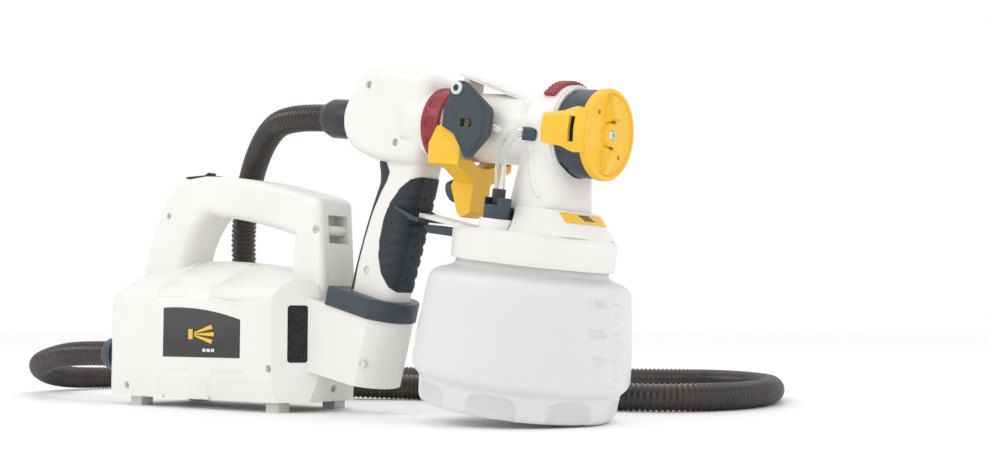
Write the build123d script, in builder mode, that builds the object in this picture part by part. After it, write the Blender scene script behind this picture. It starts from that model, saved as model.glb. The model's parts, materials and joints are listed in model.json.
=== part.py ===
"""Turbine paint sprayer: a fan-driven base unit with a docked spray gun and its air hose.

Millimetres, +Z up. X runs along the base unit towards the gun's nozzle, and -Y is the near side,
which carries the name plate. The origin is on the floor under the middle of the sprayer.
"""
from build123d import *
import os
from math import cos, pi, radians, sin, tan

os.makedirs("parts", exist_ok=True)

# ---------------------------------------------------------------- driving dimensions
BASE_X = -124.5          # middle of the base unit's feet along X
FOOT_H = 8.0             # gap under the base unit
BODY_HALF_W = 46.0       # half the width of the base unit
HANDLE_HALF_W = 20.0     # half the width of the carry handle
WALL = 2.5               # wall of every moulded shell
SKIN_STEP = 0.9          # depth of the decorative grooves
DOCK_X = 159.0           # gun dock's axis from the feet's middle, at its rim
DOCK_Z = 90.0            # height of the dock's rim on that axis
DOCK_TILT = 15.0         # lean of the dock and the grip towards the nozzle
GUN_X = BASE_X + 311.2   # where the barrel's axis crosses the container's axis
GUN_Z = 202.6
GUN_TILT = 7.6           # nose-down angle of the docked gun
BARREL_R = 25.0
RING_R = 28.2
DRUM_R = 33.0
NUT_R = 30.3
CAP_R = 31.4
LID_R = 58.2
JAR_R = 76.7
JAR_WALL = 2.2
HOSE_R = 11.0
CLEAR = 0.35             # gap between moving pieces

EU = Vector(cos(radians(GUN_TILT)), 0, -sin(radians(GUN_TILT)))   # along the barrel
EV = Vector(sin(radians(GUN_TILT)), 0, cos(radians(GUN_TILT)))    # up the container's axis
NEAR = Vector(0, -1, 0)
GUN_O = Vector(GUN_X, 0, GUN_Z)
DOCK_UP = Vector(sin(radians(DOCK_TILT)), 0, cos(radians(DOCK_TILT)))
DOCK_AHEAD = Vector(cos(radians(DOCK_TILT)), 0, -sin(radians(DOCK_TILT)))
DOCK_O = Vector(BASE_X + DOCK_X, 0, DOCK_Z)


# ---------------------------------------------------------------- planes
def base_side(w=0.0):
    """Side view of the base unit: x along it, y up, extruding towards the near side."""
    return Plane(origin=(BASE_X, -w, 0), x_dir=(1, 0, 0), z_dir=(0, -1, 0))


def base_end(x=0.0):
    """End view of the base unit: x is +Y, y up, extruding along +X."""
    return Plane(origin=(BASE_X + x, 0, 0), x_dir=(0, 1, 0), z_dir=(1, 0, 0))


def base_top(z=0.0):
    return Plane(origin=(BASE_X, 0, z))


def dock_level(h=0.0):
    """Plane across the dock's axis, h above its rim: x ahead, y is +Y."""
    return Plane(origin=DOCK_O + DOCK_UP * h, x_dir=DOCK_AHEAD, z_dir=DOCK_UP)


def gun_side(w=0.0):
    """Side view of the gun: x along the barrel, y up, extruding towards the near side."""
    return Plane(origin=GUN_O + NEAR * w, x_dir=EU, z_dir=NEAR)


def gun_front(u=0.0):
    """Plane across the barrel at u: x is +Y, y up, extruding towards the nozzle."""
    return Plane(origin=GUN_O + EU * u, x_dir=(0, 1, 0), z_dir=EU)


def gun_level(v=0.0):
    """Plane across the container's axis at v: x ahead, y is +Y."""
    return Plane(origin=GUN_O + EV * v, x_dir=EU, z_dir=EV)


def gun_point(u, v, w=0.0):
    return GUN_O + EU * u + EV * v + NEAR * w


def base_point(x, y, z):
    return Vector(BASE_X + x, y, z)


def save(part, name):
    part.label = name
    export_step(part, f"parts/{name}.step")


def tube_between(start, direction, length, radius, bore=0.0):
    """A plain or hollow cylinder from a point along a direction."""
    with BuildPart() as tube:
        with BuildSketch(Plane(origin=start, z_dir=direction)):
            Circle(radius)
            if bore:
                Circle(bore, mode=Mode.SUBTRACT)
        extrude(amount=length)
    return tube.part


def ring_solid(u0, u1, outer, inner):
    """A ring around the barrel's axis."""
    return tube_between(gun_point(u0, 0), EU, u1 - u0, outer, inner)


def prism(plane, points, depth):
    """A polygon on a plane extruded both ways by depth."""
    with BuildPart() as block:
        with BuildSketch(plane):
            with BuildLine():
                Polyline(*points, close=True)
            make_face()
        extrude(amount=depth, both=True)
    return block.part


# ---------------------------------------------------------------- base unit: housing
def body_core(inset):
    """The base unit's body, each wall moved in by inset."""
    with BuildPart() as core:
        with BuildSketch(base_side()):
            with BuildLine():
                rear = ThreePointArc((-104, FOOT_H), (-118, 50), (-99, 97))
                crown_rear = ThreePointArc(rear @ 1, (-84, 111), (-62, 119.5))
                crown = ThreePointArc(crown_rear @ 1, (-10, 120.5), (114, 98))
                front = ThreePointArc(crown @ 1, (117, 62), (108, FOOT_H))
                Line(front @ 1, rear @ 0)
            make_face()
            offset(amount=-inset)
        extrude(amount=2 * BODY_HALF_W, both=True)
        with BuildSketch(base_top()):
            with BuildLine():
                near = Line((-96, -BODY_HALF_W), (88, -BODY_HALF_W))
                Line(near @ 1, (113, -20))
                Line((113, -20), (119, -8))
                Line((119, -8), (119, 8))
                Line((119, 8), (113, 20))
                Line((113, 20), (88, BODY_HALF_W))
                far = Line((88, BODY_HALF_W), (-96, BODY_HALF_W))
                rear_far = TangentArc(far @ 1, (-118.5, 23.5), tangent=(-1, 0))
                rear_line = Line(rear_far @ 1, (-118.5, -23.5))
                TangentArc(rear_line @ 1, near @ 0, tangent=(0, -1))
            make_face()
            offset(amount=-inset)
        extrude(amount=200, mode=Mode.INTERSECT)
        with BuildSketch(base_end()):
            with BuildLine():
                flank = Polyline((-43.5, FOOT_H), (-BODY_HALF_W, 26), (-BODY_HALF_W, 84))
                shoulder = ThreePointArc(flank @ 1, (-43, 94), (-35.5, 101))
                deck = ThreePointArc(shoulder @ 1, (-20, 113), (0, 121.5))
                mirror(flank, about=Plane.YZ)
                mirror(shoulder, about=Plane.YZ)
                mirror(deck, about=Plane.YZ)
                Line((43.5, FOOT_H), (-43.5, FOOT_H))
            make_face()
            offset(amount=-inset)
        extrude(amount=300, both=True, mode=Mode.INTERSECT)
    return core.part


def handle_outline():
    """Outer line of the carry handle in side view, down into the body."""
    with BuildLine() as line:
        rear = ThreePointArc((-101, 95), (-85, 150), (-58, 187))
        seat = Polyline(rear @ 1, (-50, 190.5), (-24, 192))
        bar = ThreePointArc(seat @ 1, (46, 183), (108, 167))
        nose = ThreePointArc(bar @ 1, (111.5, 164.5), (113, 160))
        Polyline(nose @ 1, (117, 98), (112, 80), (-90, 80), rear @ 0)
    return line.line


def handle_opening():
    """The hand opening in side view; its lower end runs into the body."""
    with BuildLine() as line:
        rear = ThreePointArc((-50, 100), (-43, 134), (-24, 157))
        under = ThreePointArc((-10, 157.5), (30, 151), (68, 142))
        RadiusArc(rear @ 1, under @ 0, 14)
        Line(under @ 1, (82, 138))
        Polyline((82, 138), (78, 100), rear @ 0)
    return line.line


def handle_solid(inset=0.0):
    with BuildPart() as handle:
        with BuildSketch(base_side()):
            with BuildLine():
                add(handle_outline())
            make_face()
            with BuildLine():
                add(handle_opening())
            make_face(mode=Mode.SUBTRACT)
            if inset:
                offset(amount=-inset)
        extrude(amount=HANDLE_HALF_W - 2 * inset, both=True)
        if not inset:
            for face in handle.faces().filter_by(Axis.Y):
                fillet(face.outer_wire().edges(), 6.5)
            for face in handle.faces().filter_by(Axis.Y):
                fillet(face.inner_wires()[0].edges(), 9)
    return handle.part


def groove_band(points, width=2.4):
    """A decorative groove line over the near flank and the deck, as a thick curtain."""
    with BuildPart() as band:
        with BuildSketch(base_side(2)):
            with BuildLine():
                line = Polyline(*points)
            trace(line, width)
        extrude(amount=60)
    return band.part


def on_line(x, z, head_y):
    """One housing screw across the unit: (boss, hole, screw), its head head_y from the middle."""
    start = base_point(x, -BODY_HALF_W - 6, z)
    boss = tube_between(base_point(x, -BODY_HALF_W, z), (0, 1, 0), 2 * BODY_HALF_W, 4.6)
    with BuildPart() as hole:
        add(tube_between(start, (0, 1, 0), BODY_HALF_W + 6 - head_y, 3.1))
        add(tube_between(base_point(x, -head_y, z), (0, 1, 0), head_y + 12, 1.6))
    with BuildPart() as screw:
        add(tube_between(base_point(x, -head_y, z), (0, -1, 0), 2.0, 2.8))
        add(tube_between(base_point(x, -head_y, z), (0, 1, 0), head_y + 10, 1.5))
        drive = Plane(origin=base_point(x, -head_y - 2, z), x_dir=(1, 0, 0), z_dir=(0, 1, 0))
        with BuildSketch(drive):
            RegularPolygon(1.3, 6)
        extrude(amount=1.2, mode=Mode.SUBTRACT)
    return boss, hole.part, screw.part


FILTER_TILT = 43.9       # how far the end's slanted faces turn from X
FILTER_AT = (101.9, 31.5, 60.5)
SCREWS = ((-85, 17, 34), (85, 34, 34), (-64, 160, 17), (108.5, 141.5, 17))
SOCKET = (-118.5, -20.0, 42.0)      # air outlet on the rear end
SOCKET_R = 15.0


def filter_block(side, width, height, depth_in, depth_out):
    """A block set square on one of the two slanted end faces."""
    x, y, z = FILTER_AT
    outward = Vector(sin(radians(FILTER_TILT)), side * cos(radians(FILTER_TILT)), 0)
    plane = Plane(origin=base_point(x, side * y, z) - outward * depth_in, x_dir=(0, 0, 1), z_dir=outward)
    with BuildPart() as block:
        with BuildSketch(plane):
            RectangleRounded(height, width, 2.5)
        extrude(amount=depth_in + depth_out)
    return block.part


def name_plate_block(gap, y0, y1):
    with BuildPart() as block:
        with BuildSketch(base_side(y0)):
            with BuildLine():
                lower = Line((-37.5, 41.5), (53.5, 41.5))
                right = Line(lower @ 1, (53.5, 71.5))
                upper = ThreePointArc(right @ 1, (12, 79.5), (-37.5, 81.5))
                Line(upper @ 1, lower @ 0)
            make_face()
            offset(amount=-gap)
        extrude(amount=y1 - y0)
    return block.part


GROOVES = (
    ((-32, 126), (-49, 101), (-46, 92), (-14, 91)),
    ((34, 120), (14, 97), (18, 88), (49, 84)),
    ((-8, 31), (-37, 31), (-44, 20), (-37, 4)),
    ((55, 31), (24, 31), (17, 20), (17, 4)),
)
screw_lines = [on_line(*spot) for spot in SCREWS]
body = body_core(0)
handle = handle_solid()


def joined(*parts):
    """Several solids as one."""
    with BuildPart() as whole:
        for part in parts:
            add(part)
    return whole.part


def less(part, *tools):
    """A part with tools cut out of it, one after another."""
    for tool in tools:
        with BuildPart() as cut:
            add(part)
            add(tool, mode=Mode.SUBTRACT)
        part = cut.part
    return part


def within(part, limit):
    """The piece of a part inside a limit."""
    with BuildPart() as piece:
        add(part)
        add(limit, mode=Mode.INTERSECT)
    return piece.part


def halves(part):
    """Near and far halves of a moulding, split down the middle."""
    with BuildPart() as near_space:
        Box(900, 120, 500, align=(Align.CENTER, Align.MAX, Align.CENTER))
    with BuildPart() as far_space:
        Box(900, 120, 500, align=(Align.CENTER, Align.MIN, Align.CENTER))
    return less(part, far_space.part), less(part, near_space.part)


# ---------------------------------------------------------------- base unit: cut-outs
socket_at = base_point(*SOCKET)
groove_skin = less(body, body_core(SKIN_STEP))
grooves = [within(groove_band(line), groove_skin) for line in GROOVES]
RECESS = (131, 153, 11)             # lashing recess in the handle's end: z from, z to, half width
with BuildPart() as recess:
    with BuildSketch(base_end(101)):
        with Locations((0, (RECESS[0] + RECESS[1]) / 2)):
            Rectangle(2 * RECESS[2], RECESS[1] - RECESS[0])
    extrude(amount=20)
with BuildPart() as recess_box:
    with BuildSketch(base_end(99)):
        with Locations((0, (RECESS[0] + RECESS[1]) / 2)):
            Rectangle(2 * RECESS[2] + 4, RECESS[1] - RECESS[0] + 4)
    extrude(amount=17)
SWITCH_AT = (-43, 0, 192)           # middle of the switch on the handle's rear shoulder
with BuildPart() as switch_hole:
    with BuildSketch(base_top(174)):
        with Locations((SWITCH_AT[0], 0)):
            Rectangle(25, 13)
    extrude(amount=40)
filter_holes = [filter_block(side, 15.6, 44, 8, 8) for side in (-1, 1)]
end_screw_boss = tube_between(base_point(96, 0, 18), (1, 0, 0), 14, 4.6)
end_screw_hole = joined(
    tube_between(base_point(104, 0, 18), (1, 0, 0), 20, 3.1),
    tube_between(base_point(94, 0, 18), (1, 0, 0), 16, 1.6),
)
CABLE_INLET = (-60, 22)             # x and z of the mains cable gland in the far flank
cable_hole = tube_between(base_point(CABLE_INLET[0], 30, CABLE_INLET[1]), (0, 1, 0), 30, 6.2)
socket_hole = tube_between(socket_at + Vector(12, 0, 0), (-1, 0, 0), 30, SOCKET_R + 0.1)
housing = less(joined(body, handle), body_core(WALL), handle_solid(3.0))
bosses = [within(boss, joined(body, handle)) for boss, hole, screw in screw_lines]
housing = joined(housing, *bosses, within(end_screw_boss, body), within(recess_box.part, handle))
housing = less(
    housing, recess.part, switch_hole.part, *filter_holes, end_screw_hole, cable_hole, socket_hole,
    *grooves, *[hole for boss, hole, screw in screw_lines],
)
near_half, far_half = halves(housing)
near_half = less(near_half, name_plate_block(0, BODY_HALF_W - 1.4, BODY_HALF_W + 8))
save(near_half, "housing_near_half")
save(far_half, "housing_far_half")
save(name_plate_block(CLEAR, BODY_HALF_W - 1.4, BODY_HALF_W + 0.4), "name_plate")
save(joined(*[filter_block(side, 15.0, 43.4, 6.0, -0.6) for side in (-1, 1)]), "filter_foams")

with BuildPart() as feet:
    with BuildSketch(base_top()):
        with Locations(*[(x, y) for x in (-81, 81) for y in (-31.5, 31.5)]):
            RectangleRounded(14, 13, 1.2)
    extrude(amount=FOOT_H)
save(feet.part, "feet")

with BuildPart() as strap_pin:
    with BuildSketch(Plane(origin=base_point(SCREWS[3][0], -RECESS[2], SCREWS[3][1]), z_dir=(0, 1, 0))):
        Circle(4)
        Circle(1.75, mode=Mode.SUBTRACT)
    extrude(amount=2 * RECESS[2])
save(strap_pin.part, "lashing_pin")

end_screw = joined(
    tube_between(base_point(104, 0, 18), (1, 0, 0), 2, 2.8),
    tube_between(base_point(95, 0, 18), (1, 0, 0), 9, 1.5),
)
save(joined(*[screw for boss, hole, screw in screw_lines], end_screw), "housing_screws")

with BuildPart() as bezel:
    with BuildSketch(base_top(181)):
        with Locations((SWITCH_AT[0], 0)):
            Rectangle(24.6, 12.6)
            Rectangle(21.6, 9.6, mode=Mode.SUBTRACT)
    extrude(amount=13)
    with BuildSketch(base_top(SWITCH_AT[2] + 0.6)):
        with Locations((SWITCH_AT[0], 0)):
            RectangleRounded(29, 16.5, 1.5)
            Rectangle(21.6, 9.6, mode=Mode.SUBTRACT)
    extrude(amount=1.6)
save(bezel.part, "switch_bezel")
with BuildPart() as rocker:
    with BuildSketch(base_side()):
        with BuildLine():
            Polyline((-53, 195), (-43, 192.5), (-33, 197), (-34, 184), (-52, 184), close=True)
        make_face()
    extrude(amount=4.5, both=True)
save(rocker.part, "power_switch")

# ---------------------------------------------------------------- base unit: inside and fittings
AXLE_Z = 54.0
axle = base_point(0, 0, AXLE_Z)
BASE_AHEAD = Vector(1, 0, 0)


def on_axle(x0, x1, outer, inner=0.0):
    return tube_between(axle + BASE_AHEAD * x0, BASE_AHEAD, x1 - x0, outer, inner)


save(joined(on_axle(-18, 42, 24, 20), on_axle(-18, -16, 24, 7), on_axle(40, 42, 24, 7)), "motor_can")
save(joined(on_axle(-70, 48, 3.0)), "motor_shaft")
save(joined(on_axle(-10, 32, 14, 3.0)), "motor_rotor")
save(joined(on_axle(-18, -14, 6.9, 3.05), on_axle(38, 42, 6.9, 3.05)), "motor_bearings")
save(joined(on_axle(-8, 34, 19.9, 14.6)), "motor_magnets")
fan_blades = [
    Plane(origin=axle + BASE_AHEAD * -61.5, x_dir=(0, cos(2 * pi * k / 9), sin(2 * pi * k / 9)), z_dir=(1, 0, 0))
    for k in range(9)
]
with BuildPart() as fan:
    add(on_axle(-63, -61, 32, 3.0))
    add(on_axle(-63, -48, 6.5, 3.0))
    for blade in fan_blades:
        with BuildSketch(blade):
            with Locations((18.5, 0)):
                Rectangle(26, 1.4)
        extrude(amount=9)
save(fan.part, "fan_wheel")
save(
    joined(on_axle(-72, -20, 36, 33.5), on_axle(-74, -72, 36), on_axle(-22, -20, 36, 12)),
    "fan_chamber",
)
with BuildPart() as cradle:
    for x in (-6, 26):
        with BuildSketch(base_end(x)):
            with Locations((0, 32)):
                Rectangle(50, 43)
            with Locations((0, AXLE_Z)):
                Circle(24.1, mode=Mode.SUBTRACT)
        extrude(amount=4)
save(cradle.part, "motor_cradle")

with BuildPart() as socket:
    add(tube_between(socket_at + Vector(8, 0, 0), (-1, 0, 0), 10, SOCKET_R, 12.2))
    add(tube_between(socket_at + Vector(-0.2, 0, 0), (-1, 0, 0), 2.4, SOCKET_R + 3, 12.2))
save(socket.part, "air_outlet")
with BuildPart() as gland:
    origin = base_point(CABLE_INLET[0], BODY_HALF_W - 4, CABLE_INLET[1])
    add(tube_between(origin, (0, 1, 0), 4.6, 6.1, 3.4))
    add(tube_between(origin + Vector(0, 4.2, 0), (0, 1, 0), 3, 8.5, 3.4))
save(gland.part, "cable_inlet")

# ---------------------------------------------------------------- dock
DOCK_FRONT = 13.5        # where the dock's side turns into its nose
DOCK_NOSE = 27.7
DOCK_HALF_W = 26.0
GRIP_BACK, GRIP_FRONT, GRIP_HALF_W = -22.0, 21.0, 15.5
GRIP_TAIL_H = -42.0      # the grip's lower end in the dock


def dock_column(h0, h1, back, grow=0.0):
    """The dock's outer column between two levels along its axis."""
    w = DOCK_HALF_W + grow
    with BuildPart() as column:
        with BuildSketch(dock_level(h0)):
            with BuildLine():
                side_near = Line((back, -w), (DOCK_FRONT, -w))
                nose = ThreePointArc(side_near @ 1, (DOCK_NOSE + grow, 0), (DOCK_FRONT, w))
                side_far = Line(nose @ 1, (back, w))
                Line(side_far @ 1, side_near @ 0)
            make_face()
        extrude(amount=h1 - h0)
    return column.part


def grip_column(h0, h1, gap):
    """The grip's section along the dock's axis, grown by gap."""
    with BuildPart() as column:
        with BuildSketch(dock_level(h0)):
            with Locations(((GRIP_BACK + GRIP_FRONT) / 2, 0)):
                RectangleRounded(GRIP_FRONT - GRIP_BACK + 2 * gap, 2 * (GRIP_HALF_W + gap), 11 + gap)
        extrude(amount=h1 - h0)
    return column.part


COLLAR_H = 15.0
pocket = grip_column(GRIP_TAIL_H - 0.3, 12, 1.2)
dock_side = prism(base_side(), [(80, 130), (230, 130), (230, 60), (176, 17.8), (111, 31), (80, 34)], 60)
dock_hollow = less(dock_column(-100, -COLLAR_H - 3, -70, -3), grip_column(-60, 12, 3.6))
dock_hollow = within(dock_hollow, prism(base_side(), [(112, 120), (190, 90), (174, 23), (112, 34.5)], 60))
dock_solid = less(within(dock_column(-110, -COLLAR_H, -70), dock_side), body, handle, pocket)
dock_solid = less(dock_solid, less(dock_hollow, prism(base_side(), [(111, 20), (118, 20), (118, 110), (111, 110)], 60)))
DOCK_SCREW = (163, 23, 38.5)
dock_screw_hole = joined(
    tube_between(base_point(DOCK_SCREW[0], -40, DOCK_SCREW[2]), (0, 1, 0), 40 - DOCK_SCREW[1], 3.1),
    tube_between(base_point(DOCK_SCREW[0], -40, DOCK_SCREW[2]), (0, 1, 0), 56, 1.6),
)
dock_near, dock_far = halves(less(dock_solid, dock_screw_hole))
save(dock_near, "dock_near_half")
save(dock_far, "dock_far_half")
save(
    joined(
        tube_between(base_point(DOCK_SCREW[0], -DOCK_SCREW[1], DOCK_SCREW[2]), (0, -1, 0), 2, 2.9),
        tube_between(base_point(DOCK_SCREW[0], -DOCK_SCREW[1], DOCK_SCREW[2]), (0, 1, 0), 38, 1.5),
    ),
    "dock_screw",
)

with BuildPart() as collar:
    add(dock_column(-COLLAR_H, 0, -30, 1.8))
    chamfer(collar.faces().sort_by(Axis(DOCK_O, DOCK_UP))[-1].edges(), 1.0)
save(less(collar.part, pocket, body, handle), "dock_collar")

# ---------------------------------------------------------------- gun: handle
GUN_SHELL = 3.6          # wall of the gun's moulding
GUN_ROUND = 9.5          # rounding of the handle's long edges
PAD_OUT = 0.6            # how far the soft pads stand proud of the grip
PAD_IN = 1.4             # how far they are let into it


def dock_to_gun(ahead, h):
    """A point of the dock's side view in the gun's side view."""
    from_gun = DOCK_O + DOCK_AHEAD * ahead + DOCK_UP * h - GUN_O
    return from_gun.dot(EU), from_gun.dot(EV)


def moulded(outline, half_width, grow):
    """Near half of a side view with rounded long edges, every face moved out by grow."""
    with BuildPart() as solid:
        with BuildSketch(gun_side()) as view:
            with BuildLine():
                add(outline())
            make_face()
            fillet(view.vertices(), 11)
            if grow:
                offset(amount=grow)
        extrude(amount=half_width + grow)
        outer = solid.faces().filter_by(Axis.Y).sort_by(Axis.Y)[0]
        fillet(outer.outer_wire().edges(), GUN_ROUND + grow)
    return solid.part


def grip_outline():
    with BuildLine() as line:
        tail = Line(dock_to_gun(GRIP_BACK, GRIP_TAIL_H), dock_to_gun(GRIP_FRONT, GRIP_TAIL_H))
        front = Line(tail @ 1, dock_to_gun(GRIP_FRONT, 0))
        belly = ThreePointArc(front @ 1, (-106, -84), (-99, -36))
        throat = Line(belly @ 1, (-96, -20))
        top = Line(throat @ 1, (-156, -20))
        nape = ThreePointArc(top @ 1, (-143, -32), (-139.5, -47))
        back = ThreePointArc(nape @ 1, (-149.5, -84), dock_to_gun(GRIP_BACK, 0))
        Line(back @ 1, tail @ 0)
    return line.line


def block_outline():
    with BuildLine() as line:
        roof = ThreePointArc((-93, 35), (-126, 40.5), (-158, 40))
        slope = Line(roof @ 1, (-172, 17))
        rear = ThreePointArc(slope @ 1, (-176.5, -4), (-160, -24))
        floor = ThreePointArc(rear @ 1, (-130, -31), (-93, -29))
        Line(floor @ 1, roof @ 0)
    return line.line


def grip_solid(grow):
    """Near half of the pistol grip with its tail."""
    return moulded(grip_outline, GRIP_HALF_W, grow)


def gun_block():
    """Near half of the gun's rear body above the grip, with its round neck."""
    with BuildPart() as block:
        add(moulded(block_outline, 23.5, 0))
        with BuildSketch(gun_front(-112)):
            Circle(27.6)
            Rectangle(80, 80, align=(Align.MIN, Align.CENTER), mode=Mode.SUBTRACT)
        extrude(amount=20)
    return block.part


def far_side(part):
    """The mirror image of a near half."""
    with BuildPart() as image:
        mirror(part, about=Plane.XZ)
    return image.part


PAD_OUTLINE = (
    (-88, -35), (-106, -42), (-115, -49), (-123, -60), (-128, -73), (-130, -90), (-129, -103),
    (-125, -114), (-117, -124), (-109, -131), (-88, -131),
)
STRIP_OUTLINE = (
    (-170, -22), (-152, -23), (-140, -26), (-131, -31), (-127, -38), (-129, -45), (-134, -54),
    (-141, -70), (-146, -89), (-150, -110), (-151, -129), (-175, -129),
)
CUFF_BACK = -210.0
CUFF_R = 15.4
DUCT_R = 13.5
gun_outer = joined(grip_solid(0), gun_block())
pad_skin = less(grip_solid(PAD_OUT), grip_solid(-PAD_IN))
pad_zone = less(within(pad_skin, prism(gun_side(), PAD_OUTLINE, 30)), gun_block())
strip_zone = less(within(pad_skin, prism(gun_side(), STRIP_OUTLINE, 30)), gun_block())
gun_screws, gun_bosses, head_holes, thread_holes = [], [], [], []
for u, v, reach in ((-150, 26, 19), (-118, -16, 19), (-139.5, -113, 13)):
    gun_bosses.append(within(tube_between(gun_point(u, v), NEAR, 30, 4.0), gun_outer))
    gun_screws.append(tube_between(gun_point(u, v, reach), NEAR, 1.8, 2.7))
    gun_screws.append(tube_between(gun_point(u, v, reach), (0, 1, 0), reach + 8, 1.4))
    head_holes.append(tube_between(gun_point(u, v, 32), (0, 1, 0), 32 - reach, 3.0))
    thread_holes.append(tube_between(gun_point(u, v, 32), (0, 1, 0), 32 + 10, 1.5))
block_cavity = [
    (-153, 34), (-167, 16.5), (-170, 0), (-167, -13.5), (-157, -19.5), (-130, -25), (-96, -24), (-96, 30), (-126, 35),
]
grip_cavity = [
    dock_to_gun(GRIP_BACK + GUN_SHELL, GRIP_TAIL_H + GUN_SHELL),
    dock_to_gun(GRIP_FRONT - GUN_SHELL, GRIP_TAIL_H + GUN_SHELL),
    dock_to_gun(GRIP_FRONT - GUN_SHELL, 0), (-110.5, -84), (-104, -40), (-103, -21), (-145, -21),
    (-136, -36), (-135, -48), (-144.5, -84), dock_to_gun(GRIP_BACK + GUN_SHELL, 0),
]
gun_half = less(
    gun_outer, prism(gun_side(), block_cavity, 19.5), tube_between(gun_point(-112, 0), EU, 20, 24),
    prism(gun_side(), grip_cavity, GRIP_HALF_W - GUN_SHELL),
)
gun_half = less(
    joined(gun_half, *gun_bosses), pad_zone, strip_zone,
    tube_between(gun_point(-190, 1), EU, 24, CUFF_R + 0.05), ring_solid(-100, -80, BARREL_R + 0.05, 0),
)
save(less(gun_half, *head_holes, *thread_holes), "gun_shell_near")
save(less(far_side(gun_half), *thread_holes), "gun_shell_far")
save(joined(*gun_screws), "gun_screws")
FINGER_RIBS = 8
with BuildPart() as rib_tools:
    for k in range(FINGER_RIBS):
        with BuildSketch(gun_side(-30)):
            with Locations((-97.0 - 1.6 * k, -50 - 9.6 * k)):
                Circle(2.2)
        extrude(amount=60)
pad_half = less(pad_zone, rib_tools.part)
save(pad_half, "grip_pad_near")
save(far_side(pad_half), "grip_pad_far")
save(joined(strip_zone, far_side(strip_zone)), "grip_back_strip")

with BuildPart() as cuff:
    with BuildSketch(gun_side()):
        with BuildLine():
            Polyline(
                (CUFF_BACK, 1 + 9.6), (CUFF_BACK, 1 + 12), (CUFF_BACK + 8, 1 + CUFF_R), (-168, 1 + CUFF_R),
                (-168, 1 + DUCT_R + 0.1), (-176, 1 + DUCT_R + 0.1), (-176, 1 + 9.6), close=True,
            )
        make_face()
    revolve(axis=Axis(gun_point(0, 1), EU))
save(cuff.part, "hose_cuff")
save(tube_between(gun_point(-176, 1), EU, 78, DUCT_R, 11.8), "air_duct")

# ---------------------------------------------------------------- gun: front end
RING_BACK, RING_FRONT = -91.6, -76.0
LID_TOP = -71.5
LID_BOTTOM = -93.4
PIN_AT = (-42.0, 0.0)    # needle's cross pin
PIN_R = 2.2
NEEDLE_PULL = 3.4
SUCTION_U = 18.0
VENT_AT = (-6.0, 40.0)   # vent valve's place on the lid: ahead, towards the near side


def neck_solid(shrink):
    with BuildPart() as neck:
        with BuildSketch(gun_level(LID_TOP)):
            with Locations((10, 0)):
                RectangleRounded(49 - 2 * shrink, 63 - 2 * shrink, 18 - shrink)
        with BuildSketch(gun_level(-8)):
            with Locations((11.5, 0)):
                RectangleRounded(32.5 - 2 * shrink, 57 - 2 * shrink, 15.5 - shrink)
        loft(ruled=True)
    return neck.part


def tier_solid(shrink):
    """The sloping foot of the neck on the lid."""
    with BuildPart() as tier:
        with BuildSketch(gun_level(LID_TOP)):
            with Locations((12, 0)):
                RectangleRounded(82 - 2 * shrink, 84 - 2 * shrink, 30 - shrink)
        with BuildSketch(gun_level(-54)):
            with Locations((12, 0)):
                RectangleRounded(50 - 2 * shrink, 63 - 2 * shrink, 15 - shrink)
        loft(ruled=True)
    return tier.part


with BuildPart() as ring:
    add(ring_solid(RING_BACK, RING_FRONT, RING_R, BARREL_R + CLEAR))
    for k in range(12):
        with BuildSketch(Plane(
            origin=gun_point((RING_BACK + RING_FRONT) / 2, 0), x_dir=EU,
            z_dir=NEAR * cos(2 * pi * k / 12) + EV * sin(2 * pi * k / 12),
        ).offset(RING_R - 0.7)):
            Rectangle(7, 7)
        extrude(amount=3, mode=Mode.SUBTRACT)
save(ring.part, "coupling_ring")

bulkhead = less(ring_solid(-72, -69, 21.6, 4), *[
    tube_between(gun_point(-73, 13 * cos(2 * pi * k / 6), 13 * sin(2 * pi * k / 6)), EU, 6, 5)
    for k in range(6)
])
column = less(
    joined(neck_solid(0), tier_solid(0)), neck_solid(2.6), tier_solid(3), ring_solid(26.8, 60, NUT_R + 0.6, 0),
    tube_between(gun_point(VENT_AT[0], LID_TOP - 1, VENT_AT[1]), EV, 23, 11.9),
)
front = joined(
    ring_solid(-96, 8, BARREL_R, 21.5), ring_solid(5, 25, DRUM_R, 24), ring_solid(25, 26.6, 31.6, 24),
    ring_solid(26.6, 38, 26.8, 24), bulkhead, column,
)
front = less(
    front, ring_solid(-68.9, 4, 21.5, 0), ring_solid(7.5, 60, 24, 0), ring_solid(-98, -72.1, 21.5, 0),
    prism(gun_side(), [(-48, -2.6), (-39, -2.6), (-39, 2.6), (-48, 2.6)], 60),
    tube_between(gun_point(SUCTION_U, -60), EV, 45, 8.3),
)
save(front, "front_housing")

# material passage, nozzle and needle
save(
    less(
        joined(
            tube_between(gun_point(SUCTION_U, LID_TOP + 0.1), EV, 71, 8), ring_solid(12, 31, 12, 0),
            less(ring_solid(12, 16, 23.9, 0), *[
                tube_between(gun_point(11, 17.5 * cos(2 * pi * (k + 0.5) / 6), 17.5 * sin(2 * pi * (k + 0.5) / 6)), EU, 6, 4)
                for k in range(6)
            ]),
        ),
        tube_between(gun_point(SUCTION_U, LID_TOP - 1), EV, 13, 5.05),
        tube_between(gun_point(SUCTION_U, LID_TOP - 1), EV, 72, 3.6),
        ring_solid(10, 32, 1.35, 0), ring_solid(15, 32, 6, 0),
    ),
    "material_channel",
)
with BuildPart() as nozzle:
    with BuildSketch(gun_side()):
        with BuildLine():
            Polyline(
                (31, 1.5), (31, 11.5), (38, 11.5), (40, 8), (52, 5), (55.5, 2.4), (55.5, 1.35), (50, 1.35),
                (46, 3.0), (34, 3.0), (33, 1.5), close=True,
            )
        make_face()
    revolve(axis=Axis(GUN_O, EU))
save(nozzle.part, "fluid_nozzle")
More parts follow.
